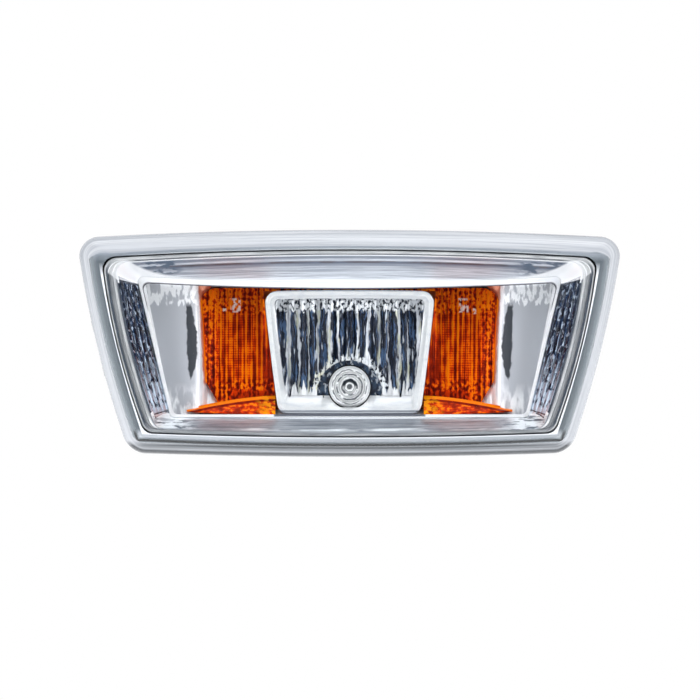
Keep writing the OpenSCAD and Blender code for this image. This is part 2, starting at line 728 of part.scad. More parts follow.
// Bulb: a glass tube with a ringed, domed tip, pinched into a flat wedge
function tip_point(k, sink) = [bulb_r * k, bulb_tip_y + 0.62 * bulb_r * (1 - sqrt(1 - k * k)) + sink];
module bulb() {
    pinch = 2.5;
    tube = wedge_y - pinch;
    color([0.85, 0.86, 0.88]) union() {
        translate([0, 0, -bulb_drop]) rotate([-90, 0, 0]) rotate_extrude() polygon(concat(
            [[0, bulb_tip_y]],
            [for (i = [1:2 * tip_rings + 1]) tip_point(0.8 * i / (2 * tip_rings + 1), tip_ring_h * (i % 2))],
            [tip_point(0.88, 0), tip_point(0.95, 0), tip_point(0.99, 0)],
            [[bulb_r, tube], [bulb_r - 0.8, tube + 1], [0, tube + 1]]
        ));
        translate([0, 0, -bulb_drop]) hull() {
            translate([0, tube + 0.6, 0]) rotate([-90, 0, 0]) cylinder(r = bulb_r - 0.6, h = 0.2, $fn = 32);
            translate([-wedge_w / 2, wedge_y, -wedge_t / 2]) cube([wedge_w, 0.4, wedge_t]);
        }
        difference() {
            translate([-wedge_w / 2, wedge_y, -bulb_drop - wedge_t / 2]) cube([wedge_w, wedge_len, wedge_t]);
            for (x = [-1, 1]) translate([x * wedge_w / 2, wedge_y + wedge_len / 2, -bulb_drop])
                cylinder(r = 0.9, h = wedge_t + 1, center = true);
        }
    }
}

// Bulb holder
blade_z = blade_pitch / 2;
spring_z = wedge_t / 2 + blade_t / 2 + 0.05;
spring_y = wedge_y + 1;
step_y = bulb_end + 0.8;
module terminal_shape(gap) {
    t = blade_t / 2 + gap;
    translate([-blade_w / 2 - gap, 0, -bulb_drop]) rotate([90, 0, 90]) linear_extrude(blade_w + 2 * gap) polygon([
        [spring_y - gap, spring_z - t], [step_y + gap, spring_z - t], [step_y + 1 + gap, blade_z - t],
        [holder_end - 2 + gap, blade_z - t], [holder_end - 2 + gap, blade_z + t],
        [step_y + 1 - gap, blade_z + t], [step_y - gap, spring_z + t], [spring_y - gap, spring_z + t]
    ]);
}

module terminal_upper() {
    color([0.8, 0.72, 0.45]) terminal_shape(0);
}

module terminal_lower() {
    color([0.8, 0.72, 0.45]) translate([0, 0, -2 * bulb_drop]) mirror([0, 0, 1]) terminal_shape(0);
}

module inlet_box(w, h, r, y0, y1) {
    translate([0, 0, -bulb_drop]) slab(y0, y1) union() {
        square([w - 2 * r, h], center = true);
        square([w, h - 2 * r], center = true);
        for (x = [-1, 1]) for (z = [-1, 1]) translate([x * (w / 2 - r), z * (h / 2 - r)]) circle(r = r);
    }
}

module bulb_holder() {
    plug_y = tub_depth - plug_reach;
    lug_back = tub_depth - 0.2;
    outer_w = inlet_w + 2 * inlet_wall;
    outer_h = inlet_h + 2 * inlet_wall;
    color([0.2, 0.2, 0.21]) difference() {
        union() {
            axial(plug_r, plug_y, holder_y + eps);
            lug_set(lug_r, lug_w, lug_back - lug_t, lug_back, 0);
            axial(boss_r, holder_y, grip_y);
            inlet_box(outer_w, outer_h, 1.5, grip_y - eps, holder_end);
            translate([-grip_w / 2, grip_y - eps, -bulb_drop - grip_t / 2]) cube([grip_w, 8, grip_t]);
            translate([-2, inlet_y, -bulb_drop + outer_h / 2 - eps]) rotate([90, 0, 90]) linear_extrude(4)
                polygon([[2, 0], [5.5, 0], [5.5, 1.2], [4.5, 1.2]]);
        }
        axial(bulb_r + fit_gap, plug_y - 1, wedge_y + 0.2);
        translate([-wedge_w / 2 - fit_gap, wedge_y, -bulb_drop - wedge_t / 2 - fit_gap])
            cube([wedge_w + 2 * fit_gap, wedge_len + 0.3, wedge_t + 2 * fit_gap]);
        terminal_shape(0.1);
        translate([0, 0, -2 * bulb_drop]) mirror([0, 0, 1]) terminal_shape(0.1);
        inlet_box(inlet_w, inlet_h, 0.8, inlet_y, holder_end + 1);
    }
}

module holder_seal() {
    color([0.1, 0.1, 0.1]) difference() {
        axial(boss_r - 0.6, boss_end, holder_y);
        axial(plug_r + 0.1, boss_end - 1, holder_y + 1);
    }
}

// Gasket: a foam ring that the wing is clamped against
module wing_gasket() {
    color([0.12, 0.12, 0.13]) slab(seat_y, 0) difference() {
        polygon(ring2d(inset_ring(gasket_inset, 0)));
        polygon(ring2d(inset_ring(tub_inset - fit_gap, 0)));
    }
}

// Spring clip: a bent leaf whose inner leg sits in the tower and whose outer leg flares to a knee
module spring_clip() {
    knee_y = clip_depth * 0.42;
    t = clip_t;
    line = [
        [slot_x, tower_y + 1.7], [slot_x, clip_depth + 0.8], [slot_x + 0.6, clip_depth + 1.6],
        [slot_x + 1.6, clip_depth + 1.6], [slot_x + 2.4, clip_depth + 0.6], [clip_reach - 0.3, knee_y + 0.8],
        [clip_reach - t, knee_y], [clip_reach - 0.3 - t, knee_y - 1], [0.6, wing_t + fit_gap + t / 2 + 0.1]
    ];
    color([0.6, 0.62, 0.65]) at_end() upright(clip_w) union() for (i = [0:len(line) - 2]) hull() {
        translate(line[i]) circle(r = t / 2, $fn = 12);
        translate(line[i + 1]) circle(r = t / 2, $fn = 12);
    }
}

// Breather patch over the vent hole
module breather_patch() {
    color([0.9, 0.9, 0.88]) translate([vent_x, rear_y, 0]) rotate([-90, 0, 0]) cylinder(r = patch_r, h = patch_t);
}

lens();
housing();
reflector();
bulb_bowl();
amber_filter();
bulb();
bulb_holder();
holder_seal();
terminal_upper();
terminal_lower();
wing_gasket();
spring_clip();
breather_patch();
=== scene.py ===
import math
from collections import namedtuple

import bmesh
import bpy
from bpy.props import FloatProperty, FloatVectorProperty, IntProperty, PointerProperty
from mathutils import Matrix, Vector


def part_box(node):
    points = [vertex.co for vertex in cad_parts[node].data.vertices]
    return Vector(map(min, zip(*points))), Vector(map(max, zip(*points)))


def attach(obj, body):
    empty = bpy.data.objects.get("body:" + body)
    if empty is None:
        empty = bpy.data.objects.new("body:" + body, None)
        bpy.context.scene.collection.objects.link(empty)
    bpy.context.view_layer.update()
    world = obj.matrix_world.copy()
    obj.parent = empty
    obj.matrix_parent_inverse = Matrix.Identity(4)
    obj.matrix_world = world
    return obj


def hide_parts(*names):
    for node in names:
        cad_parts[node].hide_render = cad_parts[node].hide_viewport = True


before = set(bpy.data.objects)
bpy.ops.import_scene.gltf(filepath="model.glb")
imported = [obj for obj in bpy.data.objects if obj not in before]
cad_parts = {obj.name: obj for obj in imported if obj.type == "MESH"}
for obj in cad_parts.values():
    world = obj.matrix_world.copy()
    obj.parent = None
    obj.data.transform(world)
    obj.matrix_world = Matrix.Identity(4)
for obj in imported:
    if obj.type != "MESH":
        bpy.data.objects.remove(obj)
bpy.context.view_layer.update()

bl_info = {
    "name": "Wing indicator lamp",
    "version": (1, 0, 0),
    "blender": (4, 5, 0),
    "location": "View3D > Sidebar > Lamp",
    "description": "Builds the finished look of a wing-mounted indicator lamp around its CAD solids",
    "category": "Object",
}

MM = 0.001

# A ring is the outline of one level of a moulding, in millimetres: top and bottom at the ends, half the
# width at z = 0, lean of the ends in degrees, corner radii, depth, and the bows of the top, bottom and ends
Ring = namedtuple("Ring", "top bottom half lean r_top r_bottom y bow_top bow_bottom bow_side")

SIDE_LEAN = 13.9
BOWS = (1.8, 1.4, 1.4)
BASE_TOP, BASE_BOTTOM, BASE_HALF = 24.2, -24.6, 56.6
LIP_Y, SHELF_Y, SEAT_Y = -5.6, -2.6, -1.6
RIM_INSET, BEAD_W, INNER_CORNER = 4.6, 0.8, 2.4
STRIP_INSET, LID_INSET, SILL_INSET = 7.4, 5.7, 5.5
LENS_PROUD, DOME_R, LENS_WALL, SKIRT_WALL, WELD_LEDGE = 11.5, 700.0, 2.2, 2.3, 1.1
CORNER_STEPS, SIDE_STEPS, EDGE_STEPS = 8, 20, 48


class LampShape(bpy.types.PropertyGroup):
    """Sizes of the lamp's visible mouldings"""

    shoulder_radius: FloatProperty(
        name="Lens shoulder", description="Radius between the dome and the skirt of the lens",
        default=0.0034, min=0.002, max=0.004, unit="LENGTH")
    strip_flutes: IntProperty(
        name="Strip flutes", description="Flutes across each end strip of the reflector", default=4, min=2, max=6)
    strip_flute_depth: FloatProperty(
        name="Strip flute depth", description="Height of the ridges between the strip flutes",
        default=0.00045, min=0.0001, max=0.0008, unit="LENGTH")
    tip_rings: IntProperty(
        name="Tip rings", description="Pressed rings around the tip of the bulb", default=4, min=1, max=8)


class LampFinish(bpy.types.PropertyGroup):
    """Colours of the lamp's finishes"""

    chrome: FloatVectorProperty(
        name="Chrome", description="Bright part of the metallised coating", subtype="COLOR", size=3,
        default=(0.86, 0.88, 0.91), min=0, max=1)
    # Chrome shade is the colour of the painted shade in the grooves of the rim beads
    chrome_shade: FloatVectorProperty(
        name="Chrome shade", description="Deep part of the metallised coating", subtype="COLOR", size=3,
        default=(0.035, 0.055, 0.09), min=0, max=1)
    # Amber and Deep amber span the amber's own colour together with its painted highlights and painted shade
    amber: FloatVectorProperty(
        name="Amber", description="Bright part of the amber plastic", subtype="COLOR", size=3,
        default=(0.95, 0.055, 0.0), min=0, max=1)
    amber_deep: FloatVectorProperty(
        name="Deep amber", description="Deep part of the amber plastic", subtype="COLOR", size=3,
        default=(0.1, 0.002, 0.0), min=0, max=1)
    housing: FloatVectorProperty(
        name="Housing", description="Moulded plastic of the housing", subtype="COLOR", size=3,
        default=(0.36, 0.38, 0.40), min=0, max=1)


def mix(a, b, k):
    return a + (b - a) * k


def lens_ring(d, y):
    """The ring that lies d inside the lens edge."""
    return rim_ring(d, d, d, y)._replace(r_top=max(3.8 - d, INNER_CORNER), r_bottom=max(4.8 - d, INNER_CORNER))


def rim_ring(side, lid, sill, y):
    half = BASE_HALF - side / math.cos(math.radians(SIDE_LEAN))
    return Ring(BASE_TOP - lid, BASE_BOTTOM + sill, half, SIDE_LEAN, INNER_CORNER, INNER_CORNER, y, *BOWS)


def grown(q, by, y):
    return q._replace(
        top=q.top + by, bottom=q.bottom - by, half=q.half + by / math.cos(math.radians(q.lean)),
        r_top=max(q.r_top + by, 0.4), r_bottom=max(q.r_bottom + by, 0.4), y=y)


def blend(a, b, k):
    return Ring(*(mix(x, z, k) for x, z in zip(a, b)))


def half_at(q, z):
    return q.half + math.tan(math.radians(q.lean)) * z


def outline(q):
    """Points (x, z) around a ring, from the bottom right corner upwards and round to the left."""
    lean = math.radians(q.lean)
    right = []
    for centre_z, r, start, end in (
        (q.bottom + q.r_bottom, q.r_bottom, -math.pi / 2, -lean), (q.top - q.r_top, q.r_top, -lean, math.pi / 2)
    ):
        cx = half_at(q, centre_z) - r / math.cos(lean)
        for i in range(CORNER_STEPS + 1):
            a = mix(start, end, i / CORNER_STEPS)
            right.append((cx + r * math.cos(a), centre_z + r * math.sin(a)))
    lower, upper = right[CORNER_STEPS], right[CORNER_STEPS + 1]
    side = [tuple(mix(lower[c], upper[c], i / SIDE_STEPS) for c in (0, 1)) for i in range(1, SIDE_STEPS)]
    right[CORNER_STEPS + 1:CORNER_STEPS + 1] = side
    top, bottom = right[-1], right[0]
    ring = list(right)
    ring += [(mix(top[0], -top[0], i / EDGE_STEPS), top[1]) for i in range(1, EDGE_STEPS)]
    ring += [(-x, z) for x, z in reversed(right)]
    ring += [(mix(-bottom[0], bottom[0], i / EDGE_STEPS), bottom[1]) for i in range(1, EDGE_STEPS)]
    return [bowed(q, x, z) for x, z in ring]


def bowed(q, x, z):
    k = (z - q.bottom) / (q.top - q.bottom)
    across = x / half_at(q, q.top)
    up = q.bow_top * k - q.bow_bottom * (1 - k)
    out = q.bow_side * 4 * k * (1 - k)
    return x + math.copysign(out * min(1, abs(across) * 2), x), z + up * (1 - across * across)


def level(q):
    return [(x, q.y, z) for x, z in outline(q)]


def clear_selection():
    if bpy.context.object and bpy.context.object.mode != "OBJECT":
        bpy.ops.object.mode_set(mode="OBJECT")
    bpy.ops.object.select_all(action="DESELECT")


def begin_edit(obj):
    clear_selection()
    bpy.context.view_layer.objects.active = obj
    obj.select_set(True)
    bpy.ops.object.mode_set(mode="EDIT")
    bpy.ops.mesh.select_mode(type="VERT")
    return bmesh.from_edit_mesh(obj.data)


def loft(name, rings, levels, closed=True, poles=()):
    """A moulding drawn as one circle that is extruded again and again, each new loop moved onto its ring."""
    clear_selection()
    bpy.ops.mesh.primitive_circle_add(vertices=len(rings[0]), radius=0.01)
    obj = bpy.context.object
    obj.name = obj.data.name = name
    bm = begin_edit(obj)
    flow = bm.verts.layers.float_vector.new("flow")
    bm.verts.ensure_lookup_table()
    loop = list(bm.verts)
    bpy.ops.mesh.select_all(action="SELECT")
    place(loop, rings[0], levels[0], flow)
    first = loop
    for ring, at in zip(rings[1:], levels[1:]):
        bpy.ops.mesh.extrude_region_move()
        last = {v: i for i, v in enumerate(loop)}
        loop = [None] * len(ring)
        for v in bm.verts:
            if v.select:
                for e in v.link_edges:
                    if e.other_vert(v) in last:
                        loop[last[e.other_vert(v)]] = v
        place(loop, ring, at, flow)
    if closed:
        bpy.ops.mesh.select_all(action="DESELECT")
        for v in (*first, *loop):
            v.select = True
        bm.select_flush(True)
        for e in bm.edges:
            e.select = e.is_boundary
        bpy.ops.mesh.bridge_edge_loops()
    for which in poles:
        bpy.ops.mesh.select_all(action="DESELECT")
        for v in (first, loop)[which]:
            v.select = True
        bpy.ops.mesh.merge(type="CENTER")
    bpy.ops.mesh.select_all(action="SELECT")
    bpy.ops.mesh.normals_make_consistent(inside=False)
    bpy.ops.object.mode_set(mode="OBJECT")
    return obj


def place(loop, ring, at, flow):
    """Moves a loop onto its ring and notes its level and each point's share of the ends for the materials."""
    for i, (v, p) in enumerate(zip(loop, ring)):
        v.co = Vector(p) * MM
        v[flow] = (at, end_share(i), 0)


def copy_of(node, name):
    """The CAD node's mesh as a new piece, with its loose triangles merged and joined into quads."""
    obj = bpy.data.objects.new(name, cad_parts[node].data.copy())
    obj.data.name = name
    obj.data.materials.clear()
    bpy.context.scene.collection.objects.link(obj)
    begin_edit(obj)
    bpy.ops.mesh.select_all(action="SELECT")
    bpy.ops.mesh.remove_doubles(threshold=2e-6)
    bpy.ops.mesh.tris_convert_to_quads()
    bpy.ops.object.mode_set(mode="OBJECT")
    return obj


def finish_piece(obj, materials, node, choose=None, angle=30, bevel=0, segments=2):
    """Rounds the edges, smooths the faces, gives the finishes and stands the piece in for its node."""
    clear_selection()
    bpy.context.view_layer.objects.active = obj
    obj.select_set(True)
    if bevel:
        mod = obj.modifiers.new("Edges", "BEVEL")
        mod.width, mod.segments = bevel * MM, segments
        mod.limit_method, mod.angle_limit = "ANGLE", math.radians(angle)
        mod.use_clamp_overlap = True
        mod.harden_normals = False
        bpy.ops.object.modifier_apply(modifier=mod.name)
    bpy.ops.object.shade_smooth_by_angle(angle=math.radians(angle))
    for material in materials:
        obj.data.materials.append(material)
    if choose:
        mesh = obj.data
        flow = mesh.attributes.get("flow")
        for face in mesh.polygons:
            marks = [flow.data[v].vector for v in face.vertices] if flow else [Vector()]
            level_at, ends = (sum(m[c] for m in marks) / len(marks) for c in (0, 1))
            face.material_index = choose(level_at, ends, face.center / MM, face.normal)
    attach(obj, "root")
    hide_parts(node)
    return obj


# Materials

class Value:
    """A number in a material's nodes, so that a pattern can be written as a formula in millimetres."""

    def __init__(self, tree, socket):
        self.tree, self.socket = tree, socket

    def math(self, operation, *terms):
        made = self.tree.nodes.new("ShaderNodeMath")
        made.operation = operation
        for socket, term in zip(made.inputs, terms):
            if isinstance(term, Value):
                self.tree.links.new(term.socket, socket)
            else:
                socket.default_value = term
        return Value(self.tree, made.outputs[0])

    def __add__(self, other):
        return self.math("ADD", self, other)

    def __sub__(self, other):
        return self.math("SUBTRACT", self, other)

    def __rsub__(self, other):
        return self.math("SUBTRACT", other, self)

    def __mul__(self, other):
        return self.math("MULTIPLY", self, other)

    def __pow__(self, power):
        return self.math("POWER", self, power)

    def __abs__(self):
        return self.math("ABSOLUTE", self)

    __radd__, __rmul__ = __add__, __mul__

    def least(self, other):
        return self.math("MINIMUM", self, other)

    def most(self, other):
        return self.math("MAXIMUM", self, other)

    def wave(self, pitch):
        """A wave between 0 and 1 with the given pitch."""
        return self.math("SINE", self * (2 * math.pi / pitch)) * 0.5 + 0.5

    def past(self, edge, soft):
        """0 before the edge and 1 beyond it, with a soft step."""
        made = self.tree.nodes.new("ShaderNodeMapRange")
        made.inputs["From Min"].default_value = edge - soft / 2
        made.inputs["From Max"].default_value = edge + soft / 2
        self.tree.links.new(self.socket, made.inputs["Value"])
        return Value(self.tree, made.outputs["Result"])

    def within(self, start, end, soft):
        return self.past(start, soft) * (1 - self.past(end, soft))

    def through(self, *stops):
        """The value sent through a ramp of (position, level) stops."""
        made = self.tree.nodes.new("ShaderNodeValToRGB")
        self.tree.links.new(self.socket, made.inputs["Fac"])
        elements = made.color_ramp.elements
        while len(elements) < len(stops):
            elements.new(0.5)
        for element, (at, grey) in zip(elements, stops):
            element.position, element.color = at, (grey, grey, grey, 1)
        return Value(self.tree, made.outputs["Color"])


class Finish:
    """A material with the constants of its shader, painted by formulas."""

    def __init__(self, name, **constants):
        self.material = bpy.data.materials.new(name)
        self.material.use_nodes = True
        self.tree = self.material.node_tree
        self.shader = self.tree.nodes["Principled BSDF"]
        for key, value in constants.items():
            self.shader.inputs[key.replace("_", " ")].default_value = value

    def split(self, vector, scale):
        made = self.tree.nodes.new("ShaderNodeSeparateXYZ")
        self.tree.links.new(vector, made.inputs[0])
        return [Value(self.tree, socket) * scale for socket in made.outputs]

    def place(self):
        """X, Y and Z of the Object coordinates, in millimetres."""
        return self.split(self.tree.nodes.new("ShaderNodeTexCoord").outputs["Object"], 1 / MM)

    def flow(self):
        """Level across the moulding and share of the ends, from the piece's own attribute."""
        marks = self.tree.nodes.new("ShaderNodeAttribute")
        marks.attribute_name = "flow"
        return self.split(marks.outputs["Vector"], 1)[:2]

    def streaks(self, a, b, c=0, low=0.45, high=0.55, detail=3.0):
        """Mask of streaks cut from a noise at the given coordinates."""
        joined = self.tree.nodes.new("ShaderNodeCombineXYZ")
        for part, socket in zip((a, b, c), joined.inputs):
            if isinstance(part, Value):
                self.tree.links.new(part.socket, socket)
            else:
                socket.default_value = part
        made = self.tree.nodes.new("ShaderNodeGroup")
        made.node_tree = streak_group()
        self.tree.links.new(joined.outputs[0], made.inputs["Vector"])
        for name, value in (("Detail", detail), ("Low", low), ("High", high)):
            made.inputs[name].default_value = value
        return Value(self.tree, made.outputs["Mask"])

    def mix(self, factor, a, b):
        """Colour a where the factor is 0 and colour b where it is 1."""
        made = self.tree.nodes.new("ShaderNodeMix")
        made.data_type = "RGBA"
        self.tree.links.new(factor.socket, made.inputs[0])
        for socket, colour in ((made.inputs[6], a), (made.inputs[7], b)):
            if hasattr(colour, "is_output"):
                self.tree.links.new(colour, socket)
            else:
                socket.default_value = (*colour[:3], 1)
        return made.outputs[2]

    def paint(self, colour, socket="Base Color"):
        self.tree.links.new(colour.socket if isinstance(colour, Value) else colour, self.shader.inputs[socket])

    def bump(self, height, strength, distance):
        made = self.tree.nodes.new("ShaderNodeBump")
        made.inputs["Strength"].default_value = strength
        made.inputs["Distance"].default_value = distance * MM
        self.tree.links.new(height.socket, made.inputs["Height"])
        self.tree.links.new(made.outputs["Normal"], self.shader.inputs["Normal"])


def streak_group():
    """Shader group: soft-edged streaks or flecks cut out of a noise, as a mask from 0 to 1."""
    group = bpy.data.node_groups.get("Streaks")
    if group:
        return group
    group = bpy.data.node_groups.new("Streaks", "ShaderNodeTree")
    group.interface.new_socket("Vector", in_out="INPUT", socket_type="NodeSocketVector")
    for name, value in (("Detail", 3.0), ("Low", 0.45), ("High", 0.55)):
        socket = group.interface.new_socket(name, in_out="INPUT", socket_type="NodeSocketFloat")
        socket.default_value = value
    group.interface.new_socket("Mask", in_out="OUTPUT", socket_type="NodeSocketFloat")
    source, sink = group.nodes.new("NodeGroupInput"), group.nodes.new("NodeGroupOutput")
    grain = group.nodes.new("ShaderNodeTexNoise")
    grain.inputs["Scale"].default_value = 1
    cut = group.nodes.new("ShaderNodeMapRange")
    for name in ("Vector", "Detail"):
        group.links.new(source.outputs[name], grain.inputs[name])
    group.links.new(grain.outputs["Fac"], cut.inputs["Value"])
    group.links.new(source.outputs["Low"], cut.inputs["From Min"])
    group.links.new(source.outputs["High"], cut.inputs["From Max"])
    group.links.new(cut.outputs["Result"], sink.inputs["Mask"])
    return group


def pass_light(finish):
    """Lets light through the moulding to what lies behind it."""
    tree = finish.tree
    path = tree.nodes.new("ShaderNodeLightPath")
    clear = tree.nodes.new("ShaderNodeBsdfTransparent")
    clear.inputs["Color"].default_value = (0.95, 0.97, 0.98, 1)
    swap = tree.nodes.new("ShaderNodeMixShader")
    either = Value(tree, path.outputs["Is Shadow Ray"]).most(Value(tree, path.outputs["Is Diffuse Ray"]))
    tree.links.new(either.socket, swap.inputs[0])
    tree.links.new(finish.shader.outputs[0], swap.inputs[1])
    tree.links.new(clear.outputs[0], swap.inputs[2])
    tree.links.new(swap.outputs[0], tree.nodes["Material Output"].inputs["Surface"])


def clear_finish():
    paint = Finish("clear_lens", Roughness=0.01, IOR=1.49, Transmission_Weight=1.0)
    x, _, z = paint.place()
    tint = paint.streaks(x * 0.05, z * 0.05, 0, 0.2, 0.8)
    paint.paint(paint.mix(tint, (0.97, 0.98, 1.0), (1.0, 1.0, 1.0)))
    paint.bump(paint.streaks(x * 0.06, z * 0.18, 0, 0.2, 0.8, 2), 0.04, 0.3)
    pass_light(paint)
    return paint.material


def edge_finish():
    """The thick edge of the lens, painted whitish as reflected light, with faint streaks along it."""
    paint = Finish("lens_edge", Roughness=0.25, IOR=1.49, Transmission_Weight=0.2)
    x, _, z = paint.place()
    inside, _ = paint.flow()
    lines = paint.streaks(x * 0.012, z * 0.012, inside * 1.6, 0.3, 0.62)
    threads = paint.streaks(x * 0.03, z * 0.03, inside * 6, 0.4, 0.5, 3)
    shade = (lines * 0.45 + 0.55) * (threads * 0.3 + 0.74)
    # Painted shade: darker towards the outer rim of the edge
    shade = shade * (inside.through((0.0, 0.0), (0.02, 0.1), (0.25, 0.75), (0.6, 1.0)) * 0.75 + 0.25)
    colour = paint.mix(shade, (0.16, 0.18, 0.21), (0.52, 0.54, 0.58))
    # Along the bottom the edge is painted darker as shade, with grey bands of painted reflection
    lower = (z * -1).past(22.8, 1.2)
    bands = (inside * (1 / 2.6)).through(
        (0.0, 0.53), (0.12, 0.12), (0.3, 0.12), (0.46, 0.94), (0.6, 0.56), (0.72, 0.44), (0.8, 0.08), (0.88, 0.27),
        (1.0, 0.6))
    shaded_bottom_edge = paint.mix(bands * (threads * 0.3 + 0.75), (0.0, 0.004, 0.01), (0.34, 0.36, 0.39))
    paint.paint(paint.mix(lower, colour, shaded_bottom_edge))
    pass_light(paint)
    return paint.material


def coating_finish(finish):
    """The metallised coating where it only carries fine flow marks."""
    paint = Finish("metallised", Metallic=0.85, Roughness=0.3)
    x, y, z = paint.place()
    marks = paint.streaks(x * 0.1, y * 0.3, z * 0.3, 0.2, 0.8, 4)
    paint.paint(paint.mix(marks, tuple(0.7 * c for c in finish.chrome), finish.chrome))
    paint.bump(marks, 0.1, 0.2)
    return paint.material


def bead_finish(finish):
    """Bright ridges and darker grooves that run right round the rim, painted as reflections and shade."""
    paint = Finish("rim_beads", Metallic=0.6, Roughness=0.28)
    x, _, z = paint.place()
    across, ends = paint.flow()
    high = z.past(0, 1)
    # Painted reflection and shade: bright lines on the bead ridges, dark lines in the grooves
    ends_lines = across.through(
        (0.0, 0.9), (0.05, 0.9), (0.08, 0.06), (0.27, 0.08), (0.33, 0.35), (0.5, 0.6), (0.66, 0.45), (0.7, 0.9),
        (0.8, 0.85), (0.9, 0.1), (0.99, 0.04))
    upper_lines = across.through(
        (0.0, 0.7), (0.03, 0.7), (0.06, 0.8), (0.1, 1.0), (0.16, 0.9), (0.3, 0.5), (0.7, 0.3), (1.0, 0.3))
    long_lines = upper_lines * high + (1 - high) * 0.5
    broken = paint.streaks(x * 0.16, z * 0.16, across * 9, 0.35, 0.6)
    lines = ends_lines * ends + long_lines * (1 - ends)
    colour = paint.mix(lines * (broken * 0.4 + 0.6), finish.chrome_shade, (1, 1, 1))
    # Painted highlight: white at the tips of the rim beside the ends of the lid
    tip = (z - 15.2 - (abs(x) - 54) * 0.76).past(0, 0.3) * across.past(0.2, 0.1) * abs(x).past(50, 3)
    paint.paint(paint.mix(tip, colour, (0.95, 0.95, 0.96)))
    return paint.material


def strip_finish(finish, flutes):
    """Dark fluted strips with broken bright lines along the flutes, under the ends of the lid, painted as
    reflections.
    """
    paint = Finish("fluted_strips", Metallic=0.7, Roughness=0.22)
    x, _, z = paint.place()
    across, _ = paint.flow()
    # Painted reflection: dark navy with bright lines, flecks and pale patches along the flutes
    foot = (z * -1).past(9, 12)
    ridge = (across * flutes + 0.18).wave(1)
    lines = ridge.past(0.86, 0.24) * paint.streaks(z * 0.5, across * 14, 0, 0.48, 0.57)
    flecks = paint.streaks(z * 0.8, across * 9, x * 0.02, 0.57, 0.61, 4)
    patches = foot * paint.streaks(z * 0.55, across * 6, 0, 0.42, 0.47, 4)
    light = (lines * 0.3).most(flecks * 0.55).most(patches * 0.95)
    blues = paint.streaks(z * 0.5, across * 9, 0, 0.4, 0.6, 2)
    deep = paint.mix(blues, (0.001, 0.003, 0.012), (0.006, 0.026, 0.075))
    colour = paint.mix(light, deep, (0.68, 0.79, 0.92))
    # Painted shade: a dark line where the strip meets the pocket
    colour = paint.mix(across.within(0.9, 1.07, 0.04), colour, (0.05, 0.06, 0.08))
    above = z - 13.3 - (abs(x) - 47.3) * 0.243
    below = (abs(x) - 40.8) * -0.309 - 15.15 - z
    # Painted shade: dark lines along the lid and the sill
    colour = paint.mix(above.within(-0.4, 0.05, 0.2).most(below.within(-0.25, 0.05, 0.2)), colour, (0.05, 0.06, 0.08))
    # Painted reflection: pale above the lid's line, and pale and dark flecks below the sill's line
    colour = paint.mix(above.past(0.05, 0.15), colour, (0.9, 0.91, 0.93))
    reflected_flecks = paint.streaks(x * 0.9, z * 0.9, 0, 0.52, 0.58)
    colour = paint.mix(below.past(0.05, 0.15), colour, paint.mix(reflected_flecks, (0.82, 0.88, 0.93), (0.12, 0.14, 0.18)))
    paint.paint(colour)
    return paint.material


def lip_finish(finish):
    """The lip round the throat, painted bright as a highlight, with a dark line of painted shade under its nose."""
    paint = Finish("throat_lip", Metallic=0.6, Roughness=0.35)
    x, _, z = paint.place()
    across, _ = paint.flow()
    # Painted highlight: the lip is bright with pale streaks
    marks = paint.streaks(x * 0.05, z * 0.2, across * 30, 0.3, 0.6)
    colour = paint.mix(marks, (0.82, 0.84, 0.88), (0.97, 0.97, 0.98))
    # Painted shadow on the lip under the bowl
    shadow = (z * -1).within(15, 16.8, 0.1) * (1 - abs(x).past(17.4, 0.4))
    colour = paint.mix(shadow, colour, (0.14, 0.15, 0.18))
    # Painted shade: a dark line under the nose of the lip
    under = across.past(2.04, 0.01) * z.past(8, 2)
    paint.paint(paint.mix(under, colour, (0.07, 0.07, 0.09)))
    return paint.material


def lid_finish(finish):
    """The brow above the throat, painted as reflections: white, with a long eye of pale streaks under its upper edge.
    """
    paint = Finish("lid_chrome", Metallic=0.2, Roughness=0.3)
    x, _, z = paint.place()
    upper = 20.2 - x * x * 0.00064
    lower = 14.6 + (abs(x) * (1 / 49.3)) ** 8 * 3.4
    down = (upper - z) * (1 / 5.6)
    inside = (upper - z).past(0.1, 0.3) * (z - lower).past(0.1, 0.5)
    # Painted reflection: pale and dark streaks in the eye
    lines = paint.streaks(x * 0.014, down * 14, 0, 0.38, 0.6, 4)
    threads = paint.streaks(x * 0.09, down * 30, 0, 0.43, 0.52, 4)
    bands = down.through(
        (0.0, 0.12), (0.12, 0.16), (0.16, 0.75), (0.21, 0.55), (0.26, 0.0), (0.31, 0.0), (0.36, 0.22), (0.46, 0.42),
        (0.76, 0.62), (1.0, 0.78))
    shade = bands * (lines * 0.55 + 0.64) * (threads * 0.55 + 0.7)
    colour = paint.mix(shade, (0.12, 0.14, 0.19), (0.78, 0.8, 0.85))
    # Painted reflection: a thin dark brownish line across the eye
    dark_reflected_line = down.within(0.24, 0.3, 0.04) * paint.streaks(x * 0.12, down * 4, 0, 0.42, 0.52)
    colour = paint.mix(dark_reflected_line * 0.8, colour, (0.08, 0.05, 0.045))
    # Painted reflection: a dark navy patch at each corner of the eye
    corner = abs(x).within(39, 49, 3) * (1 - down.past(0.6, 0.2)) * paint.streaks(x * 0.35, down * 7, 0, 0.46, 0.54)
    colour = paint.mix(corner, colour, (0.07, 0.1, 0.15))
    # Outside the eye the brow is painted white as reflected light
    paint.paint(paint.mix(inside, (0.95, 0.95, 0.96), colour))
    return paint.material


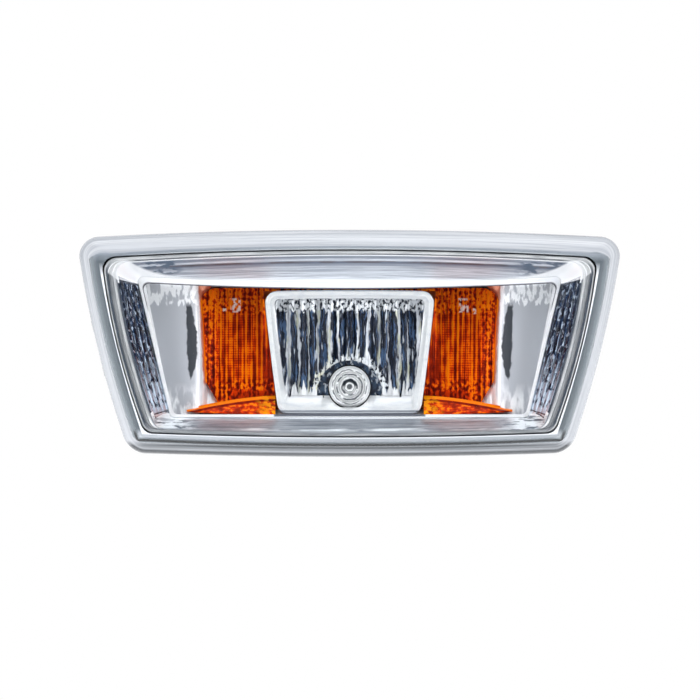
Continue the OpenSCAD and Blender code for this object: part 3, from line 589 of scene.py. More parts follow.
def sill_finish(finish):
    """The sill below the throat, painted as reflections: streaky grey with a thin glint and pale patches near its
    ends.
    """
    paint = Finish("sill_chrome", Metallic=0.4, Roughness=0.35)
    x, _, z = paint.place()
    height = z - x * x * 0.00042
    # Painted reflection: streaky grey, lighter towards the ends
    lines = paint.streaks(x * 0.014, height * 1.7, 0, 0.32, 0.64, 4)
    threads = paint.streaks(x * 0.05, height * 5, 0, 0.4, 0.56)
    grain = paint.streaks(x * 0.3, height * 3, 0, 0.35, 0.6)
    shade = (lines * 0.3 + threads * 0.5 + abs(x) * 0.007) * (grain * 0.3 + 0.75)
    colour = paint.mix(shade, (0.1, 0.115, 0.14), (0.5, 0.525, 0.57))
    # Painted highlight: a thin glint along the sill, and pale painted reflection patches near its ends
    glint = height.within(-20.1, -19.5, 0.3) * paint.streaks(x * 0.08, height * 0.4, 0, 0.44, 0.56)
    ends = abs(x).past(37, 3) * paint.streaks(x * 0.25, z * 0.9, 0, 0.4, 0.5)
    # Painted highlight: a bright line along the top edge of the sill
    edge = height.past(-17.35, 0.3)
    colour = paint.mix(glint.most(ends), colour, (0.86, 0.89, 0.91))
    # Painted reflection: dark flecks near the ends
    dark_sill_flecks = abs(x).past(36, 5) * paint.streaks(x * 0.3, height * 1.5, 0, 0.54, 0.58, 4)
    colour = paint.mix(dark_sill_flecks * (1 - abs(x).past(44.5, 1.5)), colour, (0.1, 0.12, 0.15))
    paint.paint(paint.mix(edge, colour, (0.92, 0.93, 0.95)))
    return paint.material


def pocket_finish(finish):
    """Smooth pockets beside the amber panels, painted even grey with one dark tapering reflection."""
    paint = Finish("pocket_chrome", Metallic=0.35, Roughness=0.3)
    x, _, z = paint.place()
    out = abs(x)
    soft = paint.streaks(x * 0.26, z * 0.05, 0, 0.25, 0.75)
    colour = paint.mix(soft, (0.43, 0.445, 0.485), (0.47, 0.485, 0.525))
    # Painted light: a pale narrow column with fine lines beside the amber panels
    column = 1 - out.past(35.5, 0.5)
    lines = paint.streaks(x * 1.6, z * 0.05, 0, 0.4, 0.6)
    colour = paint.mix(column, colour, paint.mix(lines, (0.6, 0.62, 0.66), (0.98, 0.98, 1.0)))
    # Pale marks near the top of the pocket
    pale_top_marks = (z - paint.streaks(x * 0.9, 0, 0, 0.3, 0.7) * 2.4).past(7.9, 0.3) * paint.streaks(
        x * 1.1, z * 0.35, 0, 0.44, 0.52, 2)
    # Painted highlight: a glare low in the pocket
    glare = (z * -1).past(11, 4) * paint.streaks(x * 0.6, z * 0.2, 0, 0.42, 0.56, 3)
    colour = paint.mix(pale_top_marks.most(glare), colour, (0.88, 0.89, 0.91))
    # Painted reflection: the dark tapering leaf down each pocket
    jag = paint.streaks(x * 0.6, z * 0.6, 0, 0.2, 0.8, 2)
    middle = (z + 1.5) ** 2 * 0.0075 + 36.2
    above, below = (z + 1).most(0), (z * -1 - 1).most(0)
    half = 1.15 - above * above * 0.0055 - below * below * 0.02 + (jag - 0.5) * 0.6
    dark = (half - abs(out - middle)).past(0, 0.3) * z.within(-8.2, 9, 1.2)
    colour = paint.mix(dark, colour, (0.03, 0.035, 0.045))
    # Painted reflection: a warm red line of the amber along the panel's edge
    verge = (out - z * 0.0546 + jag * 0.3 - 0.15) * -1
    colour = paint.mix(verge.past(-34.1, 0.3) * z.past(-9.5, 1), colour, (0.6, 0.22, 0.13))
    paint.paint(colour)
    return paint.material


def bowl_finish(finish, back_y, axis_z):
    """The bowl, painted as reflections: bright walls around a back that breaks up into deep stripes with crystal-like
    ends.
    """
    paint = Finish("bowl_chrome", Metallic=0.4, Roughness=0.25)
    x, y, z = paint.place()
    # Painted reflection: deep navy and pale stripes down the back, with pale shards
    column = x + paint.streaks(x * 0.4, z * 0.1, 0, 0.2, 0.8) * 1.3
    column = column + paint.streaks(x * 1.4, z * 0.5, 0, 0.3, 0.7) * 0.35
    broken = paint.streaks(column * 0.7, z * 0.03, 0, 0.2, 0.8)
    stripes = (column.wave(2.3) * 0.45 + broken * 0.8).past(0.82, 0.1)
    threads = paint.streaks(column * 2.4, z * 0.16, 0, 0.54, 0.6)
    shards = paint.streaks(x * 1.5, z * 0.22, 0, 0.61, 0.65, 4)
    deep = paint.mix(threads, (0.002, 0.007, 0.022), (0.05, 0.1, 0.2))
    deep = paint.mix(shards, deep, (0.5, 0.54, 0.6))
    tint = paint.streaks(x * 0.5, z * 0.12, 0, 0.52, 0.62, 2)
    wisps = paint.streaks(column * 3, z * 0.2, 0, 0.3, 0.6)
    pale = paint.mix(wisps, (0.4, 0.43, 0.5), paint.mix(tint, (0.86, 0.88, 0.92), (0.7, 0.7, 0.5)))
    colour = paint.mix(stripes, deep, pale)
    # Painted reflection: dark and pale flecks on the crown of the back
    reflected_flecks = z.past(11, 1.6) * paint.streaks(x * 0.5, z * 0.5, 0, 0.3, 0.5)
    reflected_flecks = reflected_flecks.most(paint.streaks(x * 1.6, z * 0.9, 0, 0.44, 0.5))
    crown = (z + paint.streaks(x * 0.9, 0, 0, 0.25, 0.75) * 2.2).past(8.7, 0.4)
    colour = paint.mix(crown, colour, paint.mix(reflected_flecks, (0.02, 0.025, 0.04), (0.88, 0.9, 0.93)))
    # Painted reflection: a pale jagged foot at the bottom of the back
    jag = paint.streaks(x * 0.9, 0, 0, 0.35, 0.65, 2)
    foot = (jag * 4.2 - 12.6 - z).past(0, 0.3)
    high = z - axis_z + 1.4
    radius = (x * x + high * high) ** 0.5
    # Painted reflection: a broken pale halo round the bulb, warm with the amber on the left
    halo = (1 - (radius + paint.streaks(x * 1.2, z * 0.7, 0, 0.2, 0.8) * 2.6).past(9.9, 0.4)) * paint.streaks(
        x * 1.7, z * 0.9, 0, 0.43, 0.5)
    warm = (x * -1).past(5, 3) * paint.streaks(x * 0.6, z * 0.6, 0, 0.3, 0.6)
    colour = paint.mix(halo, colour, paint.mix(warm, (0.84, 0.87, 0.9), (0.75, 0.72, 0.48)))
    colour = paint.mix(foot, colour, (0.9, 0.91, 0.93))
    # The walls are painted white as reflected light
    faint = paint.streaks(x * 0.4, z * 1.2, y * 0.6, 0.3, 0.5)
    wall = paint.mix(faint, (0.86, 0.88, 0.92), (1.0, 1.0, 1.0))
    # Painted shade: dark flecks in the corner where the walls meet the back
    corner = y.within(back_y - 0.9, back_y, 0.2) * z.past(-10, 2) * paint.streaks(x * 0.5, z * 0.5, 0, 0.36, 0.5)
    wall = paint.mix(corner, wall, (0.05, 0.06, 0.09))
    # Painted shade: grey lines on the lowest part of the walls
    under = (z * -1).past(15.3, 0.2)
    wall = paint.mix(under, wall, paint.mix(z.wave(0.55), (0.2, 0.22, 0.26), (0.66, 0.68, 0.72)))
    paint.paint(paint.mix(y.past(back_y, 0.3), wall, colour))
    return paint.material


def amber_finish(finish):
    """Amber plastic: fluted panels with fine lines across, and the crescents with their bright rims; highlights and
    shade are painted.
    """
    paint = Finish("amber_plastic", Roughness=0.3, IOR=1.5, Transmission_Weight=0.05, Specular_IOR_Level=0.04)
    x, y, z = paint.place()
    out = abs(x)
    blotch = paint.streaks(x * 0.5, z * 0.4, 0, 0.3, 0.7)
    # Painted shade between the flutes and painted highlights along them
    lines = out.wave(1.17) * 0.35 + paint.streaks(x * 1.9, z * 0.05, 0, 0.4, 0.6) * 0.65
    across = z.wave(0.55) * out.within(20.5, 31, 4) * z.within(-9, 6.4, 2)
    crumbs = paint.streaks(x * 1.3, z * 1.0, 0, 0.38, 0.62)
    low = (z * -1).past(8.5, 2)
    rough = z.past(6.8, 1).most(low * 0.9).most(out.past(30.5, 2) * 0.7)
    shade = lines * 0.6 + blotch * 0.25 + across * 0.14 + (crumbs - 0.45) * rough * 0.6 + z.past(7, 4) * 0.16 + 0.03
    shade = shade.through((0.2, 0.0), (0.42, 0.3), (0.58, 0.85), (0.74, 1.0))
    # Painted shade: darker low in the middle, above the crescents
    shade = shade * (1 - (z * -1).past(11, 1) * (1 - out.past(27, 3)) * 0.5)
    # Painted highlight: a bright line along the outer edge of each panel
    shade = shade.most((out - z * 0.0546 - 33.3).past(0, 0.3))
    along = ((out - 17.07) * (1 / 20.77)).most(0.001)
    arc = -12.0 - along ** 1.6 * 3.1
    # Painted highlight: the bright rim along the top of each crescent
    rim = (z - arc + 0.75).past(0, 0.15)
    under = (z - arc + 1.25).past(0, 0.15) * 0.8
    apron = (paint.streaks(x * 0.6, z * 1.1, 0, 0.4, 0.6) * 0.8 + 0.2) * (1 - under)
    forward = 1 - y.past(7.4, 0.1)
    shade = shade * (1 - forward) + forward * rim.most(apron)
    colour = paint.mix(shade, finish.amber_deep, finish.amber)
    # Painted highlight: bright orange on the brightest lines
    bright = (shade - 0.75).past(0.14, 0.24)
    colour = paint.mix(bright, colour, (1.0, 0.22, 0.0))
    # Painted light: bright yellow mottles on the crescents near the bowl
    near = forward * (1 - out.past(20, 4)) * paint.streaks(x * 0.7, z * 1.1, 0, 0.45, 0.55)
    colour = paint.mix(near, colour, (1.0, 0.34, 0.0))
    # Painted highlight: small white glints high on the panels
    white_glints = (out.within(25.1, 27.4, 0.2) * z.within(7.2, 10.4, 0.3)).most(
        out.within(28.4, 29.2, 0.2) * z.within(6.8, 8.1, 0.2)) * paint.streaks(x * 1.3, z * 0.8, 0, 0.47, 0.53)
    paint.paint(paint.mix(white_glints, colour, (0.95, 0.75, 0.7)))
    paint.bump(lines, 0.25, 0.15)
    return paint.material


def moulded_finish(name, colour, roughness, grain=0.9, metallic=0.0):
    paint = Finish(name, Metallic=metallic)
    x, y, z = paint.place()
    speck = paint.streaks(x * grain, y * grain, z * grain, 0.2, 0.8, 4)
    paint.paint(paint.mix(speck, tuple(c * 0.82 for c in colour), colour))
    paint.paint(speck * 0.15 + roughness, "Roughness")
    paint.bump(speck, 0.15, 0.1)
    return paint


def housing_finish(colour):
    """Grey plastic that deepens across the lip under the lens as painted shade, up to a bright inner edge painted as
    a highlight.
    """
    paint = moulded_finish("grey_plastic", colour, 0.45)
    x, y, z = paint.place()
    lean = math.radians(SIDE_LEAN)
    rise = (z - BASE_BOTTOM) * (1 / (BASE_TOP - BASE_BOTTOM))
    side = (z * math.tan(lean) + rise * (1 - rise) * 4 * BOWS[2] + BASE_HALF - abs(x)) * math.cos(lean)
    bow = 1 - x * x * (1 / BASE_HALF ** 2)
    inside = side.least(bow * BOWS[0] + BASE_TOP - z).least(z - BASE_BOTTOM + bow * BOWS[1])
    lines = paint.streaks(x * 0.02, z * 0.02, inside * 2, 0.3, 0.7)
    # Painted shade: the lip darkens inward under the lens, and along the top its inner part is painted lighter
    shade = (inside * -1).past(-3.3, 1.6)
    lip = paint.mix(shade * (lines * 0.3 + 0.7), (0.09, 0.105, 0.12), (0.24, 0.26, 0.28))
    lip = paint.mix(z.past(19.5, 1.5) * inside.past(3.3, 0.4), lip, paint.mix(lines, (0.19, 0.21, 0.24), (0.28, 0.3, 0.33)))
    # Along the bottom: a dark line of painted shade and a pale band of painted reflection
    low = (z * -1).past(20, 1)
    lip = paint.mix(low * inside.within(2.9, 3.3, 0.2), lip, (0.005, 0.006, 0.01))
    pale = low * inside.past(3.5, 0.3)
    lip = paint.mix(pale * (lines * 0.4 + 0.6), lip, (0.45, 0.46, 0.49))
    # Painted highlight: the bright inner edge of the lip
    brim = inside.past(4.25, 0.1) * (1 - z.past(17, 3) * (abs(x).past(49, 3) * 0.3 + 0.7))
    lip = paint.mix(brim, lip, (0.75, 0.75, 0.78))
    front = 1 - y.past(SEAT_Y - 0.5, 0.5)
    old = paint.shader.inputs["Base Color"].links[0].from_socket
    # Painted reflection: red-orange light from the amber panels on the housing round the bowl
    reflection_mask = abs(x).within(13, 23, 1) * (1 - y.past(15.6, 0.4)) * z.within(9, 15, 2).most((z * -1).within(11.5, 17, 1))
    old = paint.mix(reflection_mask, old, (1.0, 0.2, 0.02))
    paint.paint(paint.mix(front, old, lip))
    return paint.material


def holder_finish(colour):
    """Black plastic whose face around the bulb carries the bowl's blue reflections."""
    paint = moulded_finish("black_plastic", colour, 0.5)
    x, y, z = paint.place()
    reflection_mask = paint.streaks(x * 0.9, z * 0.6, 0, 0.4, 0.6)
    flecks = paint.streaks(x * 1.2, z * 0.9, 0, 0.55, 0.6)
    face = paint.mix(reflection_mask, (0.003, 0.009, 0.028), (0.06, 0.11, 0.2))
    face = paint.mix(flecks, face, (0.6, 0.65, 0.72))
    old = paint.shader.inputs["Base Color"].links[0].from_socket
    paint.paint(paint.mix(1 - y.past(16, 1), old, face))
    return paint.material


def glass_finish(axis_z):
    """Silvered glass, painted bright as highlights on the rings of the tip and deeper with painted shade between
    them.
    """
    paint = Finish("bulb_glass", Metallic=0.3, Roughness=0.3)
    x, y, z = paint.place()
    high = z - axis_z
    wobble = paint.streaks(x * 0.9, z * 0.9, y * 0.3, 0.2, 0.8, 2)
    radius = (x * x + high * high) ** 0.5 + wobble * 0.3 - 0.15
    # Painted highlights on the pressed rings and painted shade between them
    shade = (radius * 0.2).through(
        (0.0, 0.12), (0.1, 0.15), (0.13, 0.85), (0.2, 0.9), (0.225, 0.08), (0.25, 0.85), (0.3, 0.8), (0.335, 0.06),
        (0.37, 0.06), (0.4, 0.8), (0.46, 0.6), (0.52, 0.95), (0.565, 0.06), (0.605, 0.06), (0.64, 0.9), (0.7, 0.7),
        (0.74, 0.9), (0.765, 0.1), (0.79, 0.15), (0.82, 0.95), (0.9, 0.75), (0.95, 0.95), (1.0, 0.9))
    # Painted highlight: bright flecks that break the dark rings into arcs
    shade = shade.most(paint.streaks(x * 0.7, z * 0.7, 0, 0.53, 0.6) * radius.past(0.8, 0.1) * 0.85)
    # Painted reflection: a dark patch just above the centre
    blob = radius.within(1.1, 1.9, 0.3) * high.past(0.2, 0.4)
    shade = shade * (1 - blob * 0.95)
    # Painted highlight: the outer ring of the glass
    shade = shade.most(radius.past(4.72, 0.1))
    paint.paint(paint.mix(shade, (0.02, 0.03, 0.045), (1, 1, 1)))
    return paint.material


# Pieces

class LAMP_OT_lens(bpy.types.Operator):
    """Model the clear lens with its dome, shoulder and skirt"""

    bl_idname = "lamp.lens"
    bl_label = "Lens"

    def execute(self, context):
        shoulder_r = context.scene.lamp_shape.shoulder_radius / MM
        inner_d, inner_y = SKIRT_WALL + WELD_LEDGE, -LENS_PROUD + LENS_WALL

        def dome(d, scale, lift, y):
            points = ((x * scale, z * scale) for x, z in outline(lens_ring(d, 0)))
            return [(x, y + DOME_R - math.sqrt(DOME_R ** 2 - x * x - z * z) + lift, z) for x, z in points]

        # The lens from the middle of the dome out over the shoulder and round the skirt into the hollow. A ring's
        # level is its distance inside the edge, and runs on below 0 down the skirt. The border ring marks where
        # the whitish edge ends, and the rings beside it run towards its shape
        def border(i):
            z = outline(lens_ring(3.0, 0))[i][1]
            return mix(3.7 if z > 0 else 2.5, 2.0, end_share(i))

        def on_shoulder(inset):
            points = []
            for i in range(len(outline(lens_ring(0, 0)))):
                d = inset(i)
                x, z = outline(lens_ring(d, 0))[i]
                back = max(0.0, shoulder_r - d)
                fall = shoulder_r - math.sqrt(shoulder_r ** 2 - back ** 2)
                points.append((x, -LENS_PROUD + DOME_R - math.sqrt(DOME_R ** 2 - x * x - z * z) + fall, z))
            return points

        rings = [dome(8.0, k, 0, -LENS_PROUD) for k in (0.02, 0.2, 0.4, 0.6, 0.8)]
        levels = [24, 20, 16, 13, 10]
        for d in (8.0, 6.0, 5.0, 4.4):
            rings.append(dome(d, 1, 0, -LENS_PROUD))
            levels.append(d)
        for k in (0.75, 0.5, 0.25, 0.0):
            rings.append(on_shoulder(lambda i: mix(border(i), 4.2, k)))
            levels.append(mix(2.6, 4.2, k))
        for k in (0.7, 0.4):
            rings.append(on_shoulder(lambda i: mix(1.7, border(i), k)))
            levels.append(mix(1.7, 2.6, k))
        for i in range(4, 13):
            a = math.radians(90 - 7.5 * i)
            rings.append(dome(shoulder_r * (1 - math.cos(a)), 1, shoulder_r * (1 - math.sin(a)), -LENS_PROUD))
            levels.append(shoulder_r * (1 - math.cos(a)))
        rings += [
            level(lens_ring(0, SEAT_Y - 0.15)), level(lens_ring(0.15, SEAT_Y)), level(lens_ring(SKIRT_WALL, SEAT_Y)),
            level(lens_ring(SKIRT_WALL, LIP_Y)), level(lens_ring(inner_d, LIP_Y)),
        ]
        levels += [-6, -6.2, -8, -12, -13]
        rings += [dome(inner_d, k, 0, inner_y) for k in (1, 0.8, 0.6, 0.4, 0.2, 0.02)]
        levels += [-14, -15, -16, -17, -18, -19]
        obj = loft("lens_moulding", rings, levels, closed=False, poles=(0, 1))

        def edge_or_clear(at, ends, centre, normal):
            return 1 if -9 < at < 2.6 else 0

        finish_piece(obj, (clear_finish(), edge_finish()), "lens", edge_or_clear, angle=35)
        return {"FINISHED"}


class LAMP_OT_reflector(bpy.types.Operator):
    """Model the metallised funnel with its beads, fluted strips, lid, sill and pockets"""

    bl_idname = "lamp.reflector"
    bl_label = "Reflector"

    def execute(self, context):
        shape = context.scene.lamp_shape
        wall, nose_w, lip_w, throat_y, drop = 1.4, 1.6, 0.9, 3.0, 0.6
        mouth = rim_ring(STRIP_INSET, LID_INSET, SILL_INSET, LIP_Y + drop)
        throat = Ring(13.9, -16.3, 44.4, 13.5, 1.4, 1.4, throat_y, -1.4, 0, 0)
        pocket_end = Ring(15.1, -15.2, 33.3, 3, 6.5, 9.0, 9.2, -1.4, 0, 0)
        bead_end = RIM_INSET + BEAD_W

        def funnel(t):
            straight = blend(mouth, throat, t)
            return straight._replace(
                top=mix(mouth.top, throat.top + nose_w, t * (1.1 - 0.1 * t)),
                bottom=mix(mouth.bottom, throat.bottom - 0.8, 1 - (1 - t) ** 1.8),
                half=mix(mouth.half, throat.half + lip_w, t), y=mix(mouth.y, throat_y, t))

        def pocket(s):
            kx, ky = math.sin(s * math.pi / 2), 1 - math.cos(s * math.pi / 2)
            curved, kr = blend(throat, pocket_end, ky), max(0.0, 5 * s - 4)
            return curved._replace(
                half=mix(throat.half, pocket_end.half, kx), lean=mix(throat.lean, pocket_end.lean, kx),
                r_top=mix(1.4, 6.5, kr), r_bottom=mix(1.4, 9.0, kr), y=mix(throat_y + 1.6, pocket_end.y, ky))

        def ribbed(q, h):
            return [(x, y - h * end_share(i), z) for i, (x, y, z) in enumerate(level(q))]

        def fluted(q, h):
            return [(x, y - h * flute_share(x, z), z) for x, y, z in level(q)]

        back = [
            level(rim_ring(RIM_INSET, RIM_INSET, RIM_INSET, LIP_Y + 0.2)),
            level(rim_ring(RIM_INSET, RIM_INSET, RIM_INSET, SHELF_Y)),
            level(lens_ring(6.35, SHELF_Y)),
            level(grown(funnel(1), wall, throat_y + 0.6)),
            level(grown(pocket(0.4), 0.8 * wall, pocket(0.4).y + 0.8 * wall)),
            level(grown(pocket(0.75), wall, pocket(0.75).y + 0.5 * wall)),
            level(grown(pocket(1), wall, pocket_end.y)),
        ]
        pockets = [level(pocket(i / 24)) for i in range(24, -1, -1)]
        lip = [level(throat), level(grown(funnel(1), -0.15, throat_y - 0.2))]
        steps = 8 * shape.strip_flutes
        depth = shape.strip_flute_depth / MM
        strip = [
            fluted(funnel(i / steps), depth * abs(math.sin(math.pi * i / 8))) for i in range(steps, -1, -1)
        ]
        beads = [
            ribbed(rim_ring(STRIP_INSET - 0.1, LID_INSET - 0.05, SILL_INSET - 0.03, LIP_Y + drop), drop),
            ribbed(rim_ring(STRIP_INSET - BEAD_W, LID_INSET - 0.1, SILL_INSET - 0.06, LIP_Y + drop), drop),
            level(rim_ring(STRIP_INSET - BEAD_W - 0.2, bead_end + 0.1, bead_end + 0.04, LIP_Y + drop)),
            level(rim_ring(bead_end + 0.2, bead_end + 0.05, bead_end + 0.02, LIP_Y + drop)),
            level(rim_ring(bead_end, bead_end, bead_end, LIP_Y)),
            level(rim_ring(RIM_INSET + 0.2, RIM_INSET + 0.2, RIM_INSET + 0.2, LIP_Y)),
        ]
        # Levels: below 0 on the back, 0 to 1 over the beads, 1 to 2 down the funnel and 2 to 3 along the pockets
        levels = [-1] * len(back) + [2.1 + 0.9 * i / 24 for i in range(24, -1, -1)] + [2.05, 2.0]
        levels += [1 + i / steps for i in range(steps, -1, -1)] + [0.9, 0.7, 0.6, 0.3, 0.15, 0.0]
        obj = loft("reflector_moulding", back + pockets + lip + strip + beads, levels)
        finish = context.scene.lamp_finish

        def region(at, ends, centre, normal):
            if at < -0.7:
                return 0
            if at < 0.97:
                return 1
            if at > 2.08:
                return 6
            if at > 1.999:
                return 5
            if ends > 0.2 and flute_share(centre.x, centre.z) > 0:
                return 2
            return 3 if centre.z > 0 else 4

        finishes = (
            coating_finish(finish), bead_finish(finish), strip_finish(finish, shape.strip_flutes), lid_finish(finish),
            sill_finish(finish), lip_finish(finish), pocket_finish(finish),
        )
        finish_piece(obj, finishes, "reflector", region, angle=28)
        return {"FINISHED"}


def flute_share(x, z):
    """Share of the flutes' depth: 1 on the end strips, fading out at the lines of the lid and the sill."""
    lid = 13.3 + (abs(x) - 47.3) * 0.243 - z
    sill = z + 15.15 + (abs(x) - 40.8) * 0.309
    return max(0.0, min(1.0, lid, sill))


def end_share(i):
    """Share of the end walls in each point of a ring: 1 on the ends, 0 on the lid and the sill."""
    count = 2 * CORNER_STEPS + SIDE_STEPS + 1
    j = i if i < count else i - count - EDGE_STEPS + 1
    if j < 0 or j >= count:
        return 0
    return min(1, j / CORNER_STEPS, (count - 1 - j) / CORNER_STEPS)


class LAMP_OT_bowl(bpy.types.Operator):
    """Finish the bright bowl around the bulb"""

    bl_idname = "lamp.bowl"
    bl_label = "Bulb bowl"

    def execute(self, context):
        obj = copy_of("bulb_bowl", "bowl_moulding")
        finish = bowl_finish(context.scene.lamp_finish, 10.0, bulb_axis())
        finish_piece(obj, (finish,), "bulb_bowl", angle=35)
        return {"FINISHED"}


class LAMP_OT_amber(bpy.types.Operator):
    """Finish the amber filter with its ribbed panels and crescent ledges"""

    bl_idname = "lamp.amber"
    bl_label = "Amber filter"

    def execute(self, context):
        obj = copy_of("amber_filter", "amber_moulding")
        finish_piece(obj, (amber_finish(context.scene.lamp_finish),), "amber_filter", angle=35)
        return {"FINISHED"}


class LAMP_OT_bulb(bpy.types.Operator):
    """Finish the wedge bulb"""

    bl_idname = "lamp.bulb"
    bl_label = "Bulb"

    def execute(self, context):
        low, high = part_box("bulb")
        axis_z = bulb_axis()
        rings = context.scene.lamp_shape.tip_rings
        radius, tip, end, wedge_len, wedge_t = 4.8, low[1] / MM, high[1] / MM, 8.6, 2.5
        neck = end - wedge_len
        # Half the section of the glass: a flat tip with pressed rings, the round of the shoulder and the tube
        profile = [(0.0, tip + 0.35), (0.35, tip + 0.3)]
        pitch = (radius - 0.9) / rings
        for i in range(rings):
            start = 0.5 + i * pitch
            fall = 0.9 * (start / radius) ** 3
            profile += [
                (start, tip + 0.75 + fall), (start + 0.22 * pitch, tip + 0.2 + fall), (start + 0.5 * pitch, tip + 0.05 + fall),
                (start + 0.8 * pitch, tip + 0.3 + fall),
            ]
        profile += [(radius - 0.25, tip + 1.6), (radius - 0.05, tip + 2.2), (radius, tip + 3.2), (radius, neck - 2.5)]
        profile += [(radius - 0.6, neck - 1.6), (radius - 1.6, neck - 0.7), (0.0, neck - 0.2)]
        obj = spun("wedge_bulb", profile, axis_z, 64)
        begin_edit(obj)
        bpy.ops.mesh.select_all(action="DESELECT")
        bpy.ops.mesh.primitive_cube_add(size=1, location=(0, (neck - 0.8 + end) / 2 * MM, axis_z * MM),
                                        scale=(9.1 * MM, (end - neck + 0.8) * MM, wedge_t * MM))
        bpy.ops.mesh.bevel(offset=0.3 * MM, segments=3, affect="EDGES")
        bpy.ops.object.mode_set(mode="OBJECT")
        finish_piece(obj, (glass_finish(axis_z),), "bulb", angle=40)
        return {"FINISHED"}


def bulb_axis():
    low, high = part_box("bulb")
    return 0.5 * (low[2] + high[2]) / MM


def spun(name, profile, axis_z, steps):
    """A turned piece: its half section is drawn point by point and spun round the bulb's axis."""
    clear_selection()
    bpy.ops.mesh.primitive_plane_add(size=0.001)
    obj = bpy.context.object
    obj.name = obj.data.name = name
    bm = begin_edit(obj)
    bpy.ops.mesh.select_all(action="SELECT")
    bpy.ops.mesh.merge(type="CENTER")
    for i, (r, y) in enumerate(profile):
        if i:
            bpy.ops.mesh.extrude_vertices_move()
        for v in bm.verts:
            if v.select:
                v.co = (r * MM, y * MM, axis_z * MM)
    bpy.ops.mesh.select_all(action="SELECT")
    bpy.ops.mesh.spin(steps=steps, angle=2 * math.pi, center=(0, 0, axis_z * MM), axis=(0, 1, 0))
    bpy.ops.mesh.select_all(action="SELECT")
    bpy.ops.mesh.remove_doubles(threshold=1e-6)
    bpy.ops.mesh.normals_make_consistent(inside=False)
    bpy.ops.object.mode_set(mode="OBJECT")
    return obj


class LAMP_OT_back(bpy.types.Operator):
    """Give the housing, holder, seal, terminals, gasket, clip and patch their finishes"""

    bl_idname = "lamp.back"
    bl_label = "Housing and holder"

    def execute(self, context):
        finish = context.scene.lamp_finish
        finishes = {
            "housing": housing_finish(finish.housing),
            "bulb_holder": holder_finish((0.02, 0.02, 0.022)),
            "holder_seal": moulded_finish("seal_rubber", (0.015, 0.015, 0.015), 0.7).material,
            "terminal_upper": moulded_finish("contact_brass", (0.72, 0.5, 0.2), 0.3, metallic=1.0).material,
            "wing_gasket": moulded_finish("gasket_foam", (0.03, 0.03, 0.032), 0.85, grain=2.5).material,
            "spring_clip": moulded_finish("spring_steel", (0.5, 0.51, 0.53), 0.3, metallic=1.0).material,
            "breather_patch": moulded_finish("patch_membrane", (0.8, 0.8, 0.78), 0.7).material,
        }
        finishes["terminal_lower"] = finishes["terminal_upper"]
        for name, material in finishes.items():
            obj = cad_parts[name]
            obj.data.materials.clear()
            obj.data.materials.append(material)
        return {"FINISHED"}


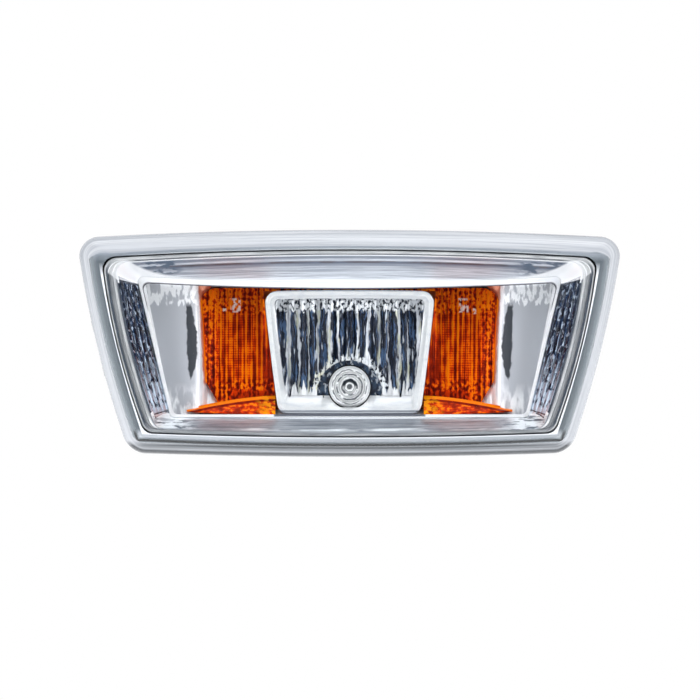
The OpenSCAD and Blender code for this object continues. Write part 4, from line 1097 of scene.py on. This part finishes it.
class LAMP_OT_stage(bpy.types.Operator):
    """Set the floor, the studio lights, the world and the camera"""

    bl_idname = "lamp.stage"
    bl_label = "Stage"

    def execute(self, context):
        scene = context.scene
        clear_selection()
        bpy.ops.mesh.primitive_plane_add(size=8, location=(0, 1.5, -0.35))
        floor = context.object
        floor.name = "floor"
        white = Finish(
            "white_floor", Base_Color=(1, 1, 1, 1), Roughness=0.9, Emission_Color=(1, 1, 1, 1), Emission_Strength=0.6)
        floor.data.materials.append(white.material)

        for name, spot, size, power, turn in (
            ("top_softbox", (0, -0.35, 0.75), (1.0, 0.5), 5.0, (math.radians(25), 0, 0)),
            ("left_softbox", (-0.8, -0.5, 0.1), (0.5, 0.9), 2.0, (math.radians(90), 0, math.radians(-60))),
            ("right_softbox", (0.8, -0.5, 0.1), (0.5, 0.9), 2.0, (math.radians(90), 0, math.radians(60))),
        ):
            bpy.ops.object.light_add(type="AREA", location=spot, rotation=turn)
            light = context.object
            light.name = name
            light.data.shape = "RECTANGLE"
            light.data.size, light.data.size_y = size
            light.data.energy = power

        world = bpy.data.worlds.new("studio")
        scene.world = world
        world.use_nodes = True
        tree = world.node_tree
        background = tree.nodes["Background"]
        coords = tree.nodes.new("ShaderNodeTexCoord")
        split = tree.nodes.new("ShaderNodeSeparateXYZ")
        tree.links.new(coords.outputs["Generated"], split.inputs[0])
        away, up = (Value(tree, split.outputs[axis]) * 0.5 + 0.5 for axis in ("Y", "Z"))
        room = away.through((0.0, 0.03), (0.02, 0.04), (0.07, 1.05), (1.0, 1.0)) * up.through((0.0, 0.55), (0.5, 0.95), (1.0, 1.15))
        path = tree.nodes.new("ShaderNodeLightPath")
        seen = room.most(Value(tree, path.outputs["Is Camera Ray"]))
        tree.links.new(seen.socket, background.inputs["Strength"])
        background.inputs["Color"].default_value = (1, 1, 1, 1)

        bpy.ops.object.camera_add(location=(0.0001, -2.0, -0.0015), rotation=(math.radians(90), 0, 0))
        camera = context.object
        camera.data.sensor_width = 36
        camera.data.lens = 36 * (2.0 - 0.005) / 0.16044
        camera.data.clip_start = 0.01
        scene.camera = camera
        scene.view_settings.view_transform = "Standard"
        scene.cycles.transmission_bounces = 16
        scene.cycles.transparent_max_bounces = 16
        scene.cycles.max_bounces = 20
        scene.cycles.glossy_bounces = 8
        return {"FINISHED"}


class LAMP_PT_panel(bpy.types.Panel):
    """Lists the lamp's steps in the sidebar"""

    bl_label = "Wing indicator lamp"
    bl_space_type = "VIEW_3D"
    bl_region_type = "UI"
    bl_category = "Lamp"

    def draw(self, context):
        for group in (context.scene.lamp_shape, context.scene.lamp_finish):
            box = self.layout.box()
            for name in group.__annotations__:
                box.prop(group, name)
        for step in STEPS:
            self.layout.operator(step.bl_idname)


STEPS = (LAMP_OT_lens, LAMP_OT_reflector, LAMP_OT_bowl, LAMP_OT_amber, LAMP_OT_bulb, LAMP_OT_back, LAMP_OT_stage)
CLASSES = (LampShape, LampFinish, *STEPS, LAMP_PT_panel)


def register():
    for cls in CLASSES:
        bpy.utils.register_class(cls)
    bpy.types.Scene.lamp_shape = PointerProperty(type=LampShape)
    bpy.types.Scene.lamp_finish = PointerProperty(type=LampFinish)


def unregister():
    del bpy.types.Scene.lamp_finish
    del bpy.types.Scene.lamp_shape
    for cls in reversed(CLASSES):
        bpy.utils.unregister_class(cls)


def main():
    register()
    for step in STEPS:
        group, name = step.bl_idname.split(".")
        getattr(getattr(bpy.ops, group), name)()


if __name__ == "__main__":
    main()
